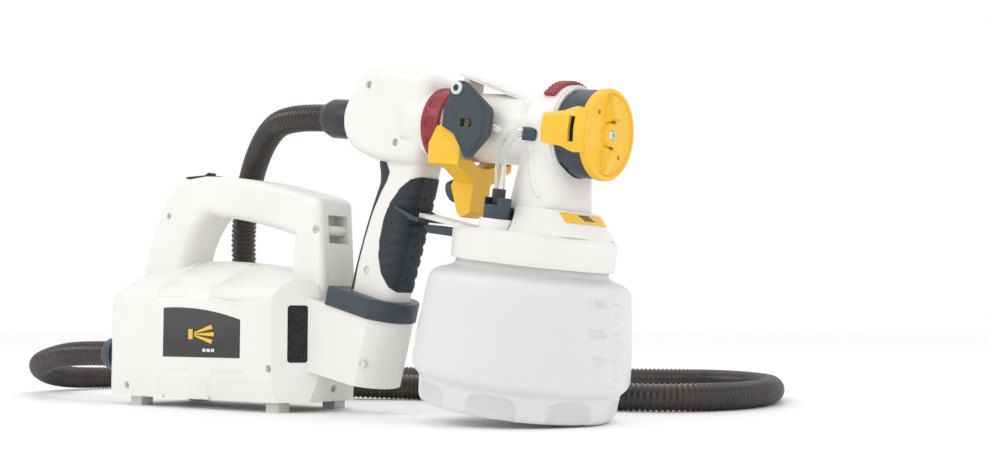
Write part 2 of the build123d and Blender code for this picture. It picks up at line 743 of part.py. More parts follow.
save(
    joined(
        ring_solid(-66, 56.2, 1.2, 0), ring_solid(-47, -37, 7.5, 0),
        tube_between(gun_point(*PIN_AT, -36.6), NEAR, 73.2, PIN_R),
    ),
    "needle",
)
with BuildPart() as spring:
    with BuildLine() as coil:
        Helix(pitch=3.3, height=20, radius=5.6, center=gun_point(-68.2, 0), direction=EU)
    with BuildSketch(Plane(origin=coil.line @ 0, z_dir=coil.line % 0)):
        Circle(0.75)
    sweep(path=coil.line)
save(spring.part, "needle_spring")

with BuildPart() as nut:
    add(ring_solid(27, 46, NUT_R, 27.1))
    add(ring_solid(43.4, 46, NUT_R, 25.1))
    for k in range(6):
        turn = 2 * pi * (k + 0.5) / 6
        with BuildSketch(Plane(origin=gun_point(26, 32.6 * cos(turn), 32.6 * sin(turn)), z_dir=EU)):
            Circle(3.1)
        extrude(amount=5, mode=Mode.SUBTRACT)
save(nut.part, "union_nut")

TAB = (33.8, 36.5)       # inner and outer radius of the air cap's side tabs
tab_shell = joined(ring_solid(20, 46.4, TAB[1], TAB[0]), ring_solid(46.4, 49, TAB[1], 31))
tabs = []
for side in (1, -1):
    tab_shape = prism(gun_side(side * 34), [(20, -9), (37, -11.5), (44, -15), (49, -15), (49, 15), (44, 15),
                                            (37, 11.5), (20, 9)], 14)
    tab_slot = prism(gun_side(side * 34), [(41.5, -8), (46, -8), (46, 8), (41.5, 8)], 14)
    tabs.append(less(within(tab_shell, tab_shape), tab_slot))
with BuildPart() as horns:
    for side in (1, -1):
        with BuildSketch(gun_front(52)):
            with Locations((0, side * 17.5)):
                Rectangle(12, 19)
        with BuildSketch(gun_front(58)):
            with Locations((0, side * 11.5)):
                Rectangle(7, 5)
        loft(ruled=True)
cap = joined(
    ring_solid(40.4, 43.1, 26.7, 21), ring_solid(43.1, 47, 24.7, 21), ring_solid(46.4, 52, CAP_R, 21),
    ring_solid(49.5, 52, 22, 6.4), horns.part, *tabs,
)
cap_holes = [tube_between(gun_point(48, 14 * side, 15 * side), EU, 8, 1.5) for side in (1, -1)]
save(less(cap, *cap_holes), "air_cap")

with BuildPart() as slider:
    add(ring_solid(12.5, 21, 35.8, DRUM_R + CLEAR))
    for k in range(9):
        turn = radians(-15 + 6.8 * k)
        with BuildSketch(Plane(origin=gun_point(11.5, 36.4 * cos(turn), 36.4 * sin(turn)), z_dir=EU)):
            Circle(1.3)
        extrude(amount=11, mode=Mode.SUBTRACT)
wedge = prism(gun_front(16), [
    (0, 0), (60 * sin(radians(22)), 60 * cos(radians(22))), (0, 60), (-60 * sin(radians(48)), 60 * cos(radians(48))),
], 20)
save(within(slider.part, wedge), "width_slider")

# ---------------------------------------------------------------- gun: trigger and its plates
with BuildPart() as roof:
    with BuildSketch(gun_side()):
        with BuildLine():
            upper = Line((-71, 38.5), (-16, 23))
            nose = ThreePointArc(upper @ 1, (-9.5, 19), (-6, 12))
            Polyline(nose @ 1, (-8.5, 12), (-17, 20.4), (-71, 36), upper @ 0)
        make_face()
    extrude(amount=15, both=True)
roof_feet = prism(gun_side(), [(-30, 10), (-12, 10), (-12, 21.2), (-30, 25)], 11)
rear_foot = prism(gun_side(), [(-71, 20), (-66, 20), (-66, 36), (-71, 37)], 9)
save(less(joined(roof.part, roof_feet, rear_foot), ring_solid(-100, 8.4, BARREL_R, 0)), "barrel_cover")

PLATE = ((-60.5, 24), (-54, 31), (-47, 29), (-24, 11.5), (-22.5, 7), (-23.5, -10), (-39, -24), (-45, -24),
         (-55, -8), (-66, -3), (-64.5, 12))
PIVOT = (-54.0, 24.0)
PLATE_W = (32.6, 37.0)               # inner and outer face of the side plates
ARM_W = (29.2, 32.2)                 # inner and outer face of the trigger's arms
PIVOT_R = 2.5
for side, name in ((1, "side_plate_near"), (-1, "side_plate_far")):
    with BuildPart() as plate:
        with BuildSketch(gun_side(side * PLATE_W[0])):
            with BuildLine():
                Polyline(*PLATE, close=True)
            make_face()
        extrude(amount=side * (PLATE_W[1] - PLATE_W[0]))
        outer = plate.faces().sort_by(Axis.Y)[0 if side > 0 else -1]
        chamfer(outer.outer_wire().edges(), 1.6)
    posts = [
        less(tube_between(gun_point(u, v, side * 20), NEAR * side, PLATE_W[0] - 20, 3.2),
             ring_solid(-100, 10, BARREL_R, 0))
        for u, v in ((-31, 6), (-34, -10))
    ]
    pin_slot = prism(gun_side(side * 36), [(-48.2, -2.8), (-38.8, -2.8), (-38.8, 2.8), (-48.2, 2.8)], 8)
    pivot_hole = tube_between(gun_point(*PIVOT, side * 26), NEAR * side, 20, PIVOT_R + 0.05)
    save(less(joined(plate.part, *posts), pin_slot, pivot_hole), name)
save(
    joined(*[
        joined(
            tube_between(gun_point(*PIVOT, side * 28), NEAR * side, PLATE_W[1] + 0.4 - 28, PIVOT_R),
            tube_between(gun_point(*PIVOT, side * PLATE_W[1]), NEAR * side, 1.5, 4.4),
        )
        for side in (1, -1)
    ]),
    "pivot_screws",
)

TRIGGER = (
    (-60, 25), (-54, 30), (-46, 21), (-37.5, 6), (-37.5, -6), (-50, -14), (-50, -27), (-51, -38), (-52, -62),
    (-60, -66), (-64, -63), (-73, -41), (-78, -27), (-79, -16), (-73, -3), (-62, 1),
)
trigger = less(
    prism(gun_side(), TRIGGER, ARM_W[1]),
    ring_solid(-110, 20, ARM_W[0], 0),
    prism(gun_side(), [(-110, -25), (-20, -25), (-20, 50), (-110, 50)], ARM_W[0]),
    prism(gun_side(), [(-110, -50), (-67, -50), (-67, 50), (-110, 50)], ARM_W[0]),
    *[
        prism(gun_front(-65), [(side * 10.5, -41), (side * 33, -29), (side * 60, -29), (side * 60, -80),
                               (side * 10.5, -80)], 40)
        for side in (1, -1)
    ],
    tube_between(gun_point(*PIVOT, -40), NEAR, 80, PIVOT_R + 0.05),
    *[prism(gun_side(side * 30), [(-44.8, -2.7), (-39.2, -2.7), (-39.2, 5), (-44.8, 5)], 6) for side in (1, -1)],
)
trigger_blade = prism(gun_side(), [(-67, -34), (-58, -34), (-56, -60), (-60, -65), (-64, -63), (-72, -44)], 10.5)
save(joined(trigger, trigger_blade), "trigger")

# ---------------------------------------------------------------- container and its lid
SEAL_T = 2.0


def jar_solid(inset, top):
    """The container's outside, or its inside with every wall moved in by inset."""
    def at(r, v):
        return r - inset, v
    with BuildPart() as jar:
        with BuildSketch(gun_side()):
            with BuildLine():
                base = Line((0, -195 + inset), (64.5 - inset, -195 + inset))
                heel = ThreePointArc(base @ 1, at(68.4, -193.5 + inset), at(69.8, -189.5 + inset))
                foot = Line(heel @ 1, at(70.8, -177.5))
                step = ThreePointArc(foot @ 1, at(74.4, -173.2), at(JAR_R, -167))
                side = ThreePointArc(step @ 1, at(74.9, -140), at(71.2, -109))
                shoulder = ThreePointArc(side @ 1, at(68.3, -103.4), at(62, -100.6))
                root = ThreePointArc(shoulder @ 1, at(55.6, -98.8), at(53.8, -95.4))
                neck = Line(root @ 1, at(53.8, top))
                Polyline(neck @ 1, (0, top), base @ 0)
            make_face()
        revolve(axis=Axis(GUN_O, EV))
    return jar.part


JAR_TOP = LID_TOP - 3.2 - SEAL_T - 0.3
save(less(jar_solid(0, JAR_TOP), jar_solid(JAR_WALL, JAR_TOP + 1)), "container")
save(tube_between(gun_point(0, LID_TOP - 3.2 - SEAL_T), EV, SEAL_T, 54.2, 48), "container_seal")

with BuildPart() as lid:
    with BuildSketch(gun_side()):
        with BuildLine():
            Polyline(
                (0, LID_TOP), (54.5, LID_TOP), (LID_R, LID_TOP - 3), (LID_R - 0.8, LID_BOTTOM),
                (54.4, LID_BOTTOM), (54.4, LID_TOP - 3.2), (0, LID_TOP - 3.2), close=True,
            )
        make_face()
    revolve(axis=Axis(GUN_O, EV))
vent_boss = tube_between(gun_point(VENT_AT[0], LID_TOP - 1, VENT_AT[1]), EV, 8, 11.5)
lid_tongue = prism(gun_side(), [(-50, LID_TOP), (-98, -66), (-98, -69), (-56, -74)], 11)
lid_part = less(
    joined(lid.part, lid_tongue), ring_solid(-96, 8, BARREL_R, 0), neck_solid(0), tier_solid(0),
)
lid_part = less(
    joined(lid_part, vent_boss), neck_solid(0), tier_solid(0),
    tube_between(gun_point(VENT_AT[0], -68, VENT_AT[1]), EV, 8, 8.2),
    tube_between(gun_point(VENT_AT[0], -80, VENT_AT[1]), EV, 20, 4),
    tube_between(gun_point(SUCTION_U, -80), EV, 12, 5.1),
)
save(lid_part, "container_lid")
save(
    less(prism(gun_side(), [(-40, -74.5), (-84, -73.8), (-93, -73.8), (-96, -75.5), (-90, -80), (-40, -81)], 8),
         tube_between(gun_point(0, -100), EV, 40, LID_R), lid_tongue),
    "lid_clip",
)

fork_plan = (
    (-86, -70.5), (-95, -69), (-104, -66.5), (-116, -62), (-116, -64.5), (-104, -69.5), (-95, -72), (-86, -73),
)
save(
    joined(
        less(prism(gun_side(), [(-92, -69.7), (-101, -68.4), (-101, -71.4), (-92, -72.5)], 19), lid_tongue),
        *[prism(gun_side(side * 18.2), fork_plan[1:7], 0.9) for side in (1, -1)],
    ),
    "grip_fork",
)

badge_zone = prism(gun_side(), [(24, -55.2), (60, -55.2), (60, -61.6), (24, -61.6)], 26)
save(within(less(tier_solid(-0.6), tier_solid(0)), badge_zone), "badge")

save(
    joined(
        tube_between(gun_point(SUCTION_U, -186), EV, 124, 5.0, 3.5),
        less(tube_between(gun_point(SUCTION_U, -191), EV, 5, 8), tube_between(gun_point(SUCTION_U, -189), EV, 4, 3.5),
             tube_between(gun_point(SUCTION_U - 9, -189), EU, 18, 1.4),
             tube_between(gun_point(SUCTION_U, -189, -9), NEAR, 18, 1.4)),
    ),
    "suction_tube",
)

# ---------------------------------------------------------------- vent line
save(
    less(
        tube_between(gun_point(VENT_AT[0], -64.4, VENT_AT[1]), EV, 14.4, 9.2),
        tube_between(gun_point(VENT_AT[0], -65, VENT_AT[1]), EV, 7.5, 6.8),
        tube_between(gun_point(VENT_AT[0], -58, VENT_AT[1]), EV, 8, 2.4),
        prism(gun_front(VENT_AT[0]), [(-VENT_AT[1] - 20, -55), (-VENT_AT[1] + 20, -55), (-VENT_AT[1] + 20, -45),
                                      (-VENT_AT[1] - 20, -45)], 5.0),
    ),
    "valve_cover",
)
save(tube_between(gun_point(VENT_AT[0], -66, VENT_AT[1]), EV, 1.2, 8.1), "valve_diaphragm")
save(tube_between(gun_point(VENT_AT[0], -55, VENT_AT[1]), EV, 11, 4.6, 2.4), "tube_connector")
nipple_at = gun_point(5.5, -5, 36.4)
nipple_way = (gun_point(12, -5, 30.5) - nipple_at).normalized()
with BuildPart() as vent_tube:
    with BuildLine() as vent_line:
        Spline(
            gun_point(VENT_AT[0], -44, VENT_AT[1]), gun_point(VENT_AT[0] + 0.4, -18, VENT_AT[1] + 0.5), nipple_at,
            tangents=(EV, nipple_way),
        )
    with BuildSketch(Plane(origin=gun_point(VENT_AT[0], -44, VENT_AT[1]), z_dir=EV)):
        Circle(3.85)
        Circle(2.4, mode=Mode.SUBTRACT)
    sweep(path=vent_line.line)
save(vent_tube.part, "vent_tube")
save(less(tube_between(nipple_at, nipple_way, 9, 4.6, 2.4), ring_solid(4, 26, DRUM_R, 0)), "vent_nipple")

with BuildPart() as knob:
    knob_plane = Plane(origin=gun_point(-72.5, -46), x_dir=(0, 1, 0), z_dir=EU * -0.93 + EV * -0.36)
    with BuildSketch(knob_plane):
        RegularPolygon(8.4, 14)
    extrude(amount=6)
save(less(knob.part, trigger, trigger_blade), "flow_knob")

# ---------------------------------------------------------------- air hose
PLUG_BACK = -135.0
plug_end = base_point(PLUG_BACK, SOCKET[1], SOCKET[2])
save(
    joined(
        tube_between(plug_end, (1, 0, 0), -121.2 - PLUG_BACK, 14, 9.6),
        tube_between(plug_end, (1, 0, 0), -112 - PLUG_BACK, 12.1, 9.6),
    ),
    "hose_plug",
)
hose_start = gun_point(CUFF_BACK, 1)
HOSE_ROUTE = (
    hose_start - EU * 44, base_point(9, 22, 229), base_point(-42, 50, 192), base_point(-67, 66, 130),
    base_point(-59, 76, 66), base_point(-31, 106, 14), base_point(37, 152, 11), base_point(135, 174, 11),
    base_point(235, 146, 11), base_point(299, 136, 11), base_point(345, 168, 11), base_point(359, 228, 11),
    base_point(345, 300, 11), base_point(297, 392, 11), base_point(214, 452, 11), base_point(117, 424, 11),
    base_point(7, 362, 11), base_point(-103, 318, 11), base_point(-208, 268, 11), base_point(-283, 204, 11),
    base_point(-329, 132, 11), base_point(-335, 64, 13), base_point(-296, 12, 28), base_point(-228, -12, 38),
    base_point(-182, -20, 42),
)
corners = [hose_start, *HOSE_ROUTE, plug_end]
hose_radii = []
for before, corner, after in zip(corners, corners[1:], corners[2:]):
    run_in, run_out = corner - before, after - corner
    half_turn = radians(run_in.get_angle(run_out)) / 2
    hose_radii.append(min(0.45 * min(run_in.length, run_out.length) / tan(half_turn), 900))
print("hose bend radii", [round(r) for r in hose_radii])
with BuildPart() as hose:
    with BuildLine() as hose_line:
        FilletPolyline(*corners, radius=hose_radii)
    with BuildSketch(Plane(origin=hose_start, z_dir=EU * -1)):
        Circle(HOSE_R)
        Circle(HOSE_R - 1.6, mode=Mode.SUBTRACT)
    sweep(path=hose_line.line)
hose_length = sum(edge.length for edge in hose_line.edges())
print("hose length", round(hose_length), "volume", round(hose.part.volume),
      "section x length", round(pi * (HOSE_R ** 2 - (HOSE_R - 1.6) ** 2) * hose_length))
save(hose.part, "air_hose")
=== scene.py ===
"""Turbine paint sprayer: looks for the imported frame.

X runs along the base unit, -Y is the near side, +Z is up. Outlines and helpers that place points in
base_at, gun_at, around_barrel or around_cup take millimetres; Blender's own values are in metres."""
import json
from math import cos, pi, radians, sin

import bmesh
import bpy
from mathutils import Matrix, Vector
from mathutils.bvhtree import BVHTree


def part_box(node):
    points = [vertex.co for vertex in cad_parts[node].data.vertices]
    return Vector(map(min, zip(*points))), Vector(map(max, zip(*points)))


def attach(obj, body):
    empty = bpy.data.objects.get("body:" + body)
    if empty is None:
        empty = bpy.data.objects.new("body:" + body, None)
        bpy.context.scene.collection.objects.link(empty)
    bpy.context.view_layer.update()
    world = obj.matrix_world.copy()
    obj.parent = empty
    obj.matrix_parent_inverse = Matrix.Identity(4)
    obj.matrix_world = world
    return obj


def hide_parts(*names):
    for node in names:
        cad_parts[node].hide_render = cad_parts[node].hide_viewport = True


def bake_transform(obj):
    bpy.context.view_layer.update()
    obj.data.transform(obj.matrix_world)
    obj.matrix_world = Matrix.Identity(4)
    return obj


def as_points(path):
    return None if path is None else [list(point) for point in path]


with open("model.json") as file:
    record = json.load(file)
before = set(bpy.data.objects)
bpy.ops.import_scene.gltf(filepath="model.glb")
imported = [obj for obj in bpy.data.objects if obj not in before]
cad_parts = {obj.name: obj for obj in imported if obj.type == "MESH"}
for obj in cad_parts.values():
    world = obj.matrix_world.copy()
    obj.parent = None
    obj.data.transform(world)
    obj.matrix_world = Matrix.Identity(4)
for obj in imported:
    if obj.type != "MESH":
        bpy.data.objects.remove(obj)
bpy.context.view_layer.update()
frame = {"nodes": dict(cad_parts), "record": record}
NODES = frame["nodes"]

# ---------------------------------------------------------------- the two frames of the sprayer
BASE_X = -124.5          # middle of the base unit's feet, mm
GUN_TILT = radians(7.6)  # nose-down angle of the docked gun
GUN_ORIGIN = Vector((186.7, 0, 202.6))   # barrel's axis over the cup's axis, mm
AHEAD = Vector((cos(GUN_TILT), 0, -sin(GUN_TILT)))
ABOVE = Vector((sin(GUN_TILT), 0, cos(GUN_TILT)))
NEAR = Vector((0, -1, 0))


def base_at(x, y, z):
    """A point of the base unit, given in millimetres."""
    return Vector((BASE_X + x, y, z)) / 1000


def gun_at(ahead, above, near=0.0):
    """A point of the gun, given in millimetres."""
    return (GUN_ORIGIN + AHEAD * ahead + ABOVE * above + NEAR * near) / 1000


def around_barrel(u, r, turn):
    """Millimetres: u along the barrel, turn from straight up towards the near side."""
    return gun_at(u, r * cos(turn), r * sin(turn))


def around_cup(v, r, turn):
    """Millimetres: v along the cup's axis, turn from ahead towards the near side."""
    return gun_at(r * cos(turn), v, r * sin(turn))


# ---------------------------------------------------------------- camera
CAMERA_AT = Vector((0.6913, -0.7514, 0.0700))
CAMERA_TURN = 36.19
CAMERA_PITCH = 3.83
LENS = 47.4              # on a 36 mm sensor

camera_data = bpy.data.cameras.new("camera")
camera_data.lens = LENS
camera_data.sensor_width = 36
camera = bpy.data.objects.new("camera", camera_data)
bpy.context.scene.collection.objects.link(camera)
camera.location = CAMERA_AT
camera.rotation_euler = (radians(90 + CAMERA_PITCH), 0, radians(CAMERA_TURN))
bpy.context.scene.camera = camera


# ---------------------------------------------------------------- materials
SPARK_GRAIN = 2600       # noise scales, per metre
SOFT_GRAIN = 3600
FOAM_CELLS = 900
FINE_DEPTH = 0.00012     # metres
PLATE_LIGHT_HEIGHTS = (0.038, 0.085)   # heights between which painted light makes the name plate lighter towards its top, metres


def new_material(name, color, roughness, **sockets):
    """A Principled material and its node tree's parts."""
    material = bpy.data.materials.new(name)
    material.use_nodes = True
    tree = material.node_tree
    shader = tree.nodes["Principled BSDF"]
    shader.inputs["Base Color"].default_value = (*color, 1)
    shader.inputs["Roughness"].default_value = roughness
    for socket, value in sockets.items():
        shader.inputs[socket.replace("_", " ")].default_value = value
    return material, tree, shader


def object_coordinates(tree):
    return tree.nodes.new("ShaderNodeTexCoord").outputs["Object"]


def noise(tree, scale, detail=2.0, roughness=0.5, stretch=None):
    """A noise texture in object space; returns its factor socket."""
    texture = tree.nodes.new("ShaderNodeTexNoise")
    texture.inputs["Scale"].default_value = scale
    texture.inputs["Detail"].default_value = detail
    texture.inputs["Roughness"].default_value = roughness
    place = object_coordinates(tree)
    if stretch:
        mapping = tree.nodes.new("ShaderNodeMapping")
        mapping.inputs["Scale"].default_value = stretch
        tree.links.new(place, mapping.inputs["Vector"])
        place = mapping.outputs["Vector"]
    tree.links.new(place, texture.inputs["Vector"])
    return texture.outputs["Fac"]


def vary_color(tree, shader, factor, low, high):
    """Colour runs from low to high with a factor."""
    ramp = tree.nodes.new("ShaderNodeValToRGB")
    ramp.color_ramp.elements[0].position = 0.3
    ramp.color_ramp.elements[1].position = 0.7
    ramp.color_ramp.elements[0].color = (*low, 1)
    ramp.color_ramp.elements[1].color = (*high, 1)
    tree.links.new(factor, ramp.inputs["Fac"])
    tree.links.new(ramp.outputs["Color"], shader.inputs["Base Color"])


def vary_roughness(tree, shader, factor, low, high):
    spread = tree.nodes.new("ShaderNodeMapRange")
    spread.inputs["To Min"].default_value = low
    spread.inputs["To Max"].default_value = high
    tree.links.new(factor, spread.inputs["Value"])
    tree.links.new(spread.outputs["Result"], shader.inputs["Roughness"])


def bump(tree, shader, height, strength, distance):
    node = tree.nodes.new("ShaderNodeBump")
    node.inputs["Strength"].default_value = strength
    node.inputs["Distance"].default_value = distance
    tree.links.new(height, node.inputs["Height"])
    tree.links.new(node.outputs["Normal"], shader.inputs["Normal"])


def shade(color, factor):
    return tuple(min(1, c * factor) for c in color)


def moulded_plastic(name, color, roughness=0.38):
    """Injection-moulded plastic: fine spark grain, faint flow variation in colour and gloss."""
    material, tree, shader = new_material(name, color, roughness)
    cloud = noise(tree, 14, 3)
    vary_color(tree, shader, cloud, shade(color, 0.955), shade(color, 1.02))
    vary_roughness(tree, shader, noise(tree, 60, 3), roughness - 0.06, roughness + 0.08)
    bump(tree, shader, noise(tree, SPARK_GRAIN, 2), 0.12, FINE_DEPTH)
    return material


def soft_rubber(name, color):
    """Soft-touch overmoulding: dull, with a dusty sheen."""
    material, tree, shader = new_material(name, color, 0.62)
    shader.inputs["Sheen Weight"].default_value = 0.08
    shader.inputs["Sheen Roughness"].default_value = 0.5
    vary_color(tree, shader, noise(tree, 35, 4), shade(color, 0.85), shade(color, 1.15))
    vary_roughness(tree, shader, noise(tree, 90, 3), 0.52, 0.7)
    bump(tree, shader, noise(tree, SOFT_GRAIN, 2), 0.25, FINE_DEPTH)
    return material


def open_foam(name):
    """Filter foam: black cells."""
    material, tree, shader = new_material(name, (0.02, 0.02, 0.021), 0.85)
    cells = tree.nodes.new("ShaderNodeTexVoronoi")
    cells.inputs["Scale"].default_value = FOAM_CELLS
    tree.links.new(object_coordinates(tree), cells.inputs["Vector"])
    vary_color(tree, shader, cells.outputs["Distance"], (0.003, 0.003, 0.003), (0.026, 0.026, 0.027))
    bump(tree, shader, cells.outputs["Distance"], 0.9, 0.0008)
    return material


def plain_metal(name, color, roughness, grain_stretch=(1, 1, 1)):
    """Machined or plated metal with fine turning lines."""
    material, tree, shader = new_material(name, color, roughness, Metallic=1.0)
    lines = noise(tree, 900, 2, stretch=grain_stretch)
    vary_roughness(tree, shader, lines, roughness - 0.08, roughness + 0.12)
    bump(tree, shader, lines, 0.08, 0.00008)
    return material


def milky_plastic(name):
    """Frosted polyethylene of the cup."""
    material, tree, shader = new_material(name, (0.92, 0.925, 0.935), 0.4)
    shader.inputs["Subsurface Weight"].default_value = 0.5
    shader.inputs["Subsurface Radius"].default_value = (0.02, 0.02, 0.022)
    shader.inputs["Subsurface Scale"].default_value = 0.6
    shader.inputs["Transmission Weight"].default_value = 0.12
    shader.inputs["IOR"].default_value = 1.4
    vary_color(tree, shader, noise(tree, 9, 3), (0.90, 0.91, 0.925), (0.94, 0.945, 0.95))
    vary_roughness(tree, shader, noise(tree, 40, 3), 0.34, 0.48)
    bump(tree, shader, noise(tree, 700, 3), 0.08, 0.0002)
    return material


def clear_tube(name):
    material, tree, shader = new_material(name, (0.93, 0.94, 0.94), 0.08)
    shader.inputs["Transmission Weight"].default_value = 0.93
    shader.inputs["IOR"].default_value = 1.42
    bump(tree, shader, noise(tree, 300, 2), 0.05, 0.0002)
    return material


def hose_plastic(name):
    material, tree, shader = new_material(name, (0.045, 0.036, 0.032), 0.2)
    vary_color(tree, shader, noise(tree, 30, 4), (0.016, 0.012, 0.010), (0.034, 0.026, 0.022))
    vary_roughness(tree, shader, noise(tree, 120, 3), 0.12, 0.27)
    bump(tree, shader, noise(tree, 1500, 2), 0.08, 0.0001)
    return material


def printed_plate(name):
    """The name plate: dark, with painted light that makes it lighter towards its top, under a thin clear
    coat.
    """
    material, tree, shader = new_material(name, (0.05, 0.045, 0.045), 0.3)
    shader.inputs["Coat Weight"].default_value = 0.3
    shader.inputs["Coat Roughness"].default_value = 0.12
    split = tree.nodes.new("ShaderNodeSeparateXYZ")
    tree.links.new(object_coordinates(tree), split.inputs["Vector"])
    height = tree.nodes.new("ShaderNodeMapRange")
    height.inputs["From Min"].default_value = PLATE_LIGHT_HEIGHTS[0]
    height.inputs["From Max"].default_value = PLATE_LIGHT_HEIGHTS[1]
    tree.links.new(split.outputs["Z"], height.inputs["Value"])
    # painted light: the plate's base colour lightens with height
    vary_color(tree, shader, height.outputs["Result"], (0.008, 0.008, 0.0085), (0.028, 0.027, 0.027))
    vary_roughness(tree, shader, noise(tree, 80, 3), 0.24, 0.38)
    return material


CREAM = (0.80, 0.788, 0.752)
SLATE = (0.036, 0.050, 0.068)
YELLOW = (0.86, 0.50, 0.025)
DARK_RED = (0.27, 0.018, 0.024)
LOOKS = {
    "shell_cream": moulded_plastic("moulded_cream", CREAM, 0.36),
    "grip_slate": soft_rubber("soft_slate", (0.011, 0.018, 0.026)),
    "accent_yellow": moulded_plastic("moulded_yellow", YELLOW, 0.34),
    "ring_red": moulded_plastic("moulded_red", DARK_RED, 0.36),
    "part_slate": moulded_plastic("moulded_slate", SLATE, 0.36),
    "trim_dark": moulded_plastic("moulded_black", (0.02, 0.021, 0.023), 0.4),
    "hose_dark": hose_plastic("hose_plastic"),
    "jar_milky": milky_plastic("milky_plastic"),
    "vent_clear": clear_tube("clear_tube"),
    "foam": open_foam("open_foam"),
    # the name plate's colour holds painted light, lighter towards its top
    "plate_dark": printed_plate("printed_plate"),
    "metal": plain_metal("machined_steel", (0.55, 0.55, 0.56), 0.32, (1, 8, 8)),
    "screw_zinc": plain_metal("plated_screws", (0.68, 0.68, 0.69), 0.24),
    "inner_grey": moulded_plastic("inner_grey", (0.25, 0.26, 0.27), 0.5),
    "magnet": plain_metal("sintered_magnet", (0.10, 0.10, 0.11), 0.55),
    "switch_red": moulded_plastic("switch_dark", (0.03, 0.03, 0.035), 0.3),
    "foot_rubber": moulded_plastic("foot_plastic", (0.62, 0.61, 0.59), 0.5),
    "nozzle_metal": plain_metal("nozzle_metal", (0.66, 0.66, 0.67), 0.25),
    "duct_white": moulded_plastic("duct_white", (0.72, 0.72, 0.70), 0.42),
}
HOLE_PAINTED_SHADE = moulded_plastic("hole_painted_shade", (0.30, 0.13, 0.01), 0.6)   # painted shade: a dark amber that stands for the shade in the depth of the cap's holes
SLOT_OF = {entry["node"]: entry["material_slot"] for entry in frame["record"]["subparts"]}
for node, obj in NODES.items():
    look = LOOKS[SLOT_OF[node]]
    if not obj.data.materials:
        obj.data.materials.append(look)
    for index in range(len(obj.data.materials)):
        obj.data.materials[index] = look


# ---------------------------------------------------------------- mesh helpers
def piece_from(name, points, faces, body, slot, smooth=True, look=None):
    """A mesh piece that takes its finish from a slot and rides on a body, unless that is None."""
    mesh = bpy.data.meshes.new(name)
    mesh.from_pydata([tuple(p) for p in points], [], faces)
    work = bmesh.new()
    work.from_mesh(mesh)
    bmesh.ops.recalc_face_normals(work, faces=work.faces)
    work.to_mesh(mesh)
    work.free()
    obj = bpy.data.objects.new(name, mesh)
    bpy.context.scene.collection.objects.link(obj)
    mesh.materials.append(look or LOOKS[slot])
    for polygon in mesh.polygons:
        polygon.use_smooth = smooth
    if body:
        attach(obj, body)
    return obj


def bevelled(obj, width_mm, segments=3, angle=30):
    """Rounds the edges of a piece and keeps its flats flat."""
    modifier = obj.modifiers.new("bevel", "BEVEL")
    modifier.width = width_mm / 1000
    modifier.segments = segments
    modifier.limit_method = "ANGLE"
    modifier.angle_limit = radians(angle)
    modifier.harden_normals = True
    return obj


def grid_faces(rows, columns, wrap_rows=False):
    """Quads over rings of points stored ring by ring."""
    faces = []
    for i in range(rows if wrap_rows else rows - 1):
        for j in range(columns):
            a, b = i % rows, (i + 1) % rows
            c, d = j % columns, (j + 1) % columns
            faces.append((a * columns + c, a * columns + d, b * columns + d, b * columns + c))
    return faces


def prism_between(name, lower, upper, body, slot, **options):
    """A solid between two polygons of the same number of corners."""
    count = len(lower)
    faces = [tuple(range(count)), tuple(range(count, 2 * count))]
    faces += [(i, (i + 1) % count, count + (i + 1) % count, count + i) for i in range(count)]
    return piece_from(name, [*lower, *upper], faces, body, slot, smooth=False, **options)


# ---------------------------------------------------------------- air hose
RIB_PITCH = 4.4
RIB_RADII = (9.9, 9.9, 10.4, 10.97, 10.97, 10.4)   # rings over one pitch
HOSE_ROUND = 20
hose_start = gun_at(-210, 1)
HOSE_ROUTE = [
    hose_start, gun_at(-254, 1), base_at(9, 22, 229), base_at(-42, 50, 192), base_at(-67, 66, 130),
    base_at(-59, 76, 66), base_at(-31, 106, 14), base_at(37, 152, 11), base_at(135, 174, 11),
    base_at(235, 146, 11), base_at(299, 136, 11), base_at(345, 168, 11), base_at(359, 228, 11),
    base_at(345, 300, 11), base_at(297, 392, 11), base_at(214, 452, 11), base_at(117, 424, 11),
    base_at(7, 362, 11), base_at(-103, 318, 11), base_at(-208, 268, 11), base_at(-283, 204, 11),
    base_at(-329, 132, 11), base_at(-335, 64, 13), base_at(-296, 12, 28), base_at(-228, -12, 38),
    base_at(-182, -20, 42), base_at(-135, -20, 42),
]


def centre_line(points):
    """The points of a NURBS spline with the given control points, finely sampled."""
    curve = bpy.data.curves.new("route", "CURVE")
    curve.dimensions = "3D"
    spline = curve.splines.new("NURBS")
    spline.points.add(len(points) - 1)
    for target, point in zip(spline.points, points):
        target.co = (*point, 1)
    spline.order_u = 3
    spline.use_endpoint_u = True
    spline.resolution_u = 24
    holder = bpy.data.objects.new("route", curve)
    bpy.context.scene.collection.objects.link(holder)
    bpy.context.view_layer.update()
    line = bpy.data.meshes.new_from_object(holder)
    found = [Vector(v.co) for v in line.vertices]
    bpy.data.objects.remove(holder)
    bpy.data.meshes.remove(line)
    return found


def evenly_spaced(line, step):
    """Points along a line at equal distances."""
    out, carried = [line[0]], 0.0
    for start, end in zip(line, line[1:]):
        run = (end - start).length
        while run > 0 and carried + run >= step:
            start = start + (end - start) * ((step - carried) / run)
            run = (end - start).length
            carried = 0.0
            out.append(start)
        carried += run
    return out


def tube_along(line, radii, around):
    """Rings of the given radii, repeated along a line without twist."""
    points, side = [], Vector((0, 1, 0))
    for i, centre in enumerate(line):
        ahead = (line[min(i + 1, len(line) - 1)] - line[max(i - 1, 0)]).normalized()
        side = (side - ahead * side.dot(ahead)).normalized()
        up = ahead.cross(side)
        radius = radii[i % len(radii)] / 1000
        points += [
            centre + (side * cos(2 * pi * j / around) + up * sin(2 * pi * j / around)) * radius
            for j in range(around)
        ]
    return points, grid_faces(len(line), around)


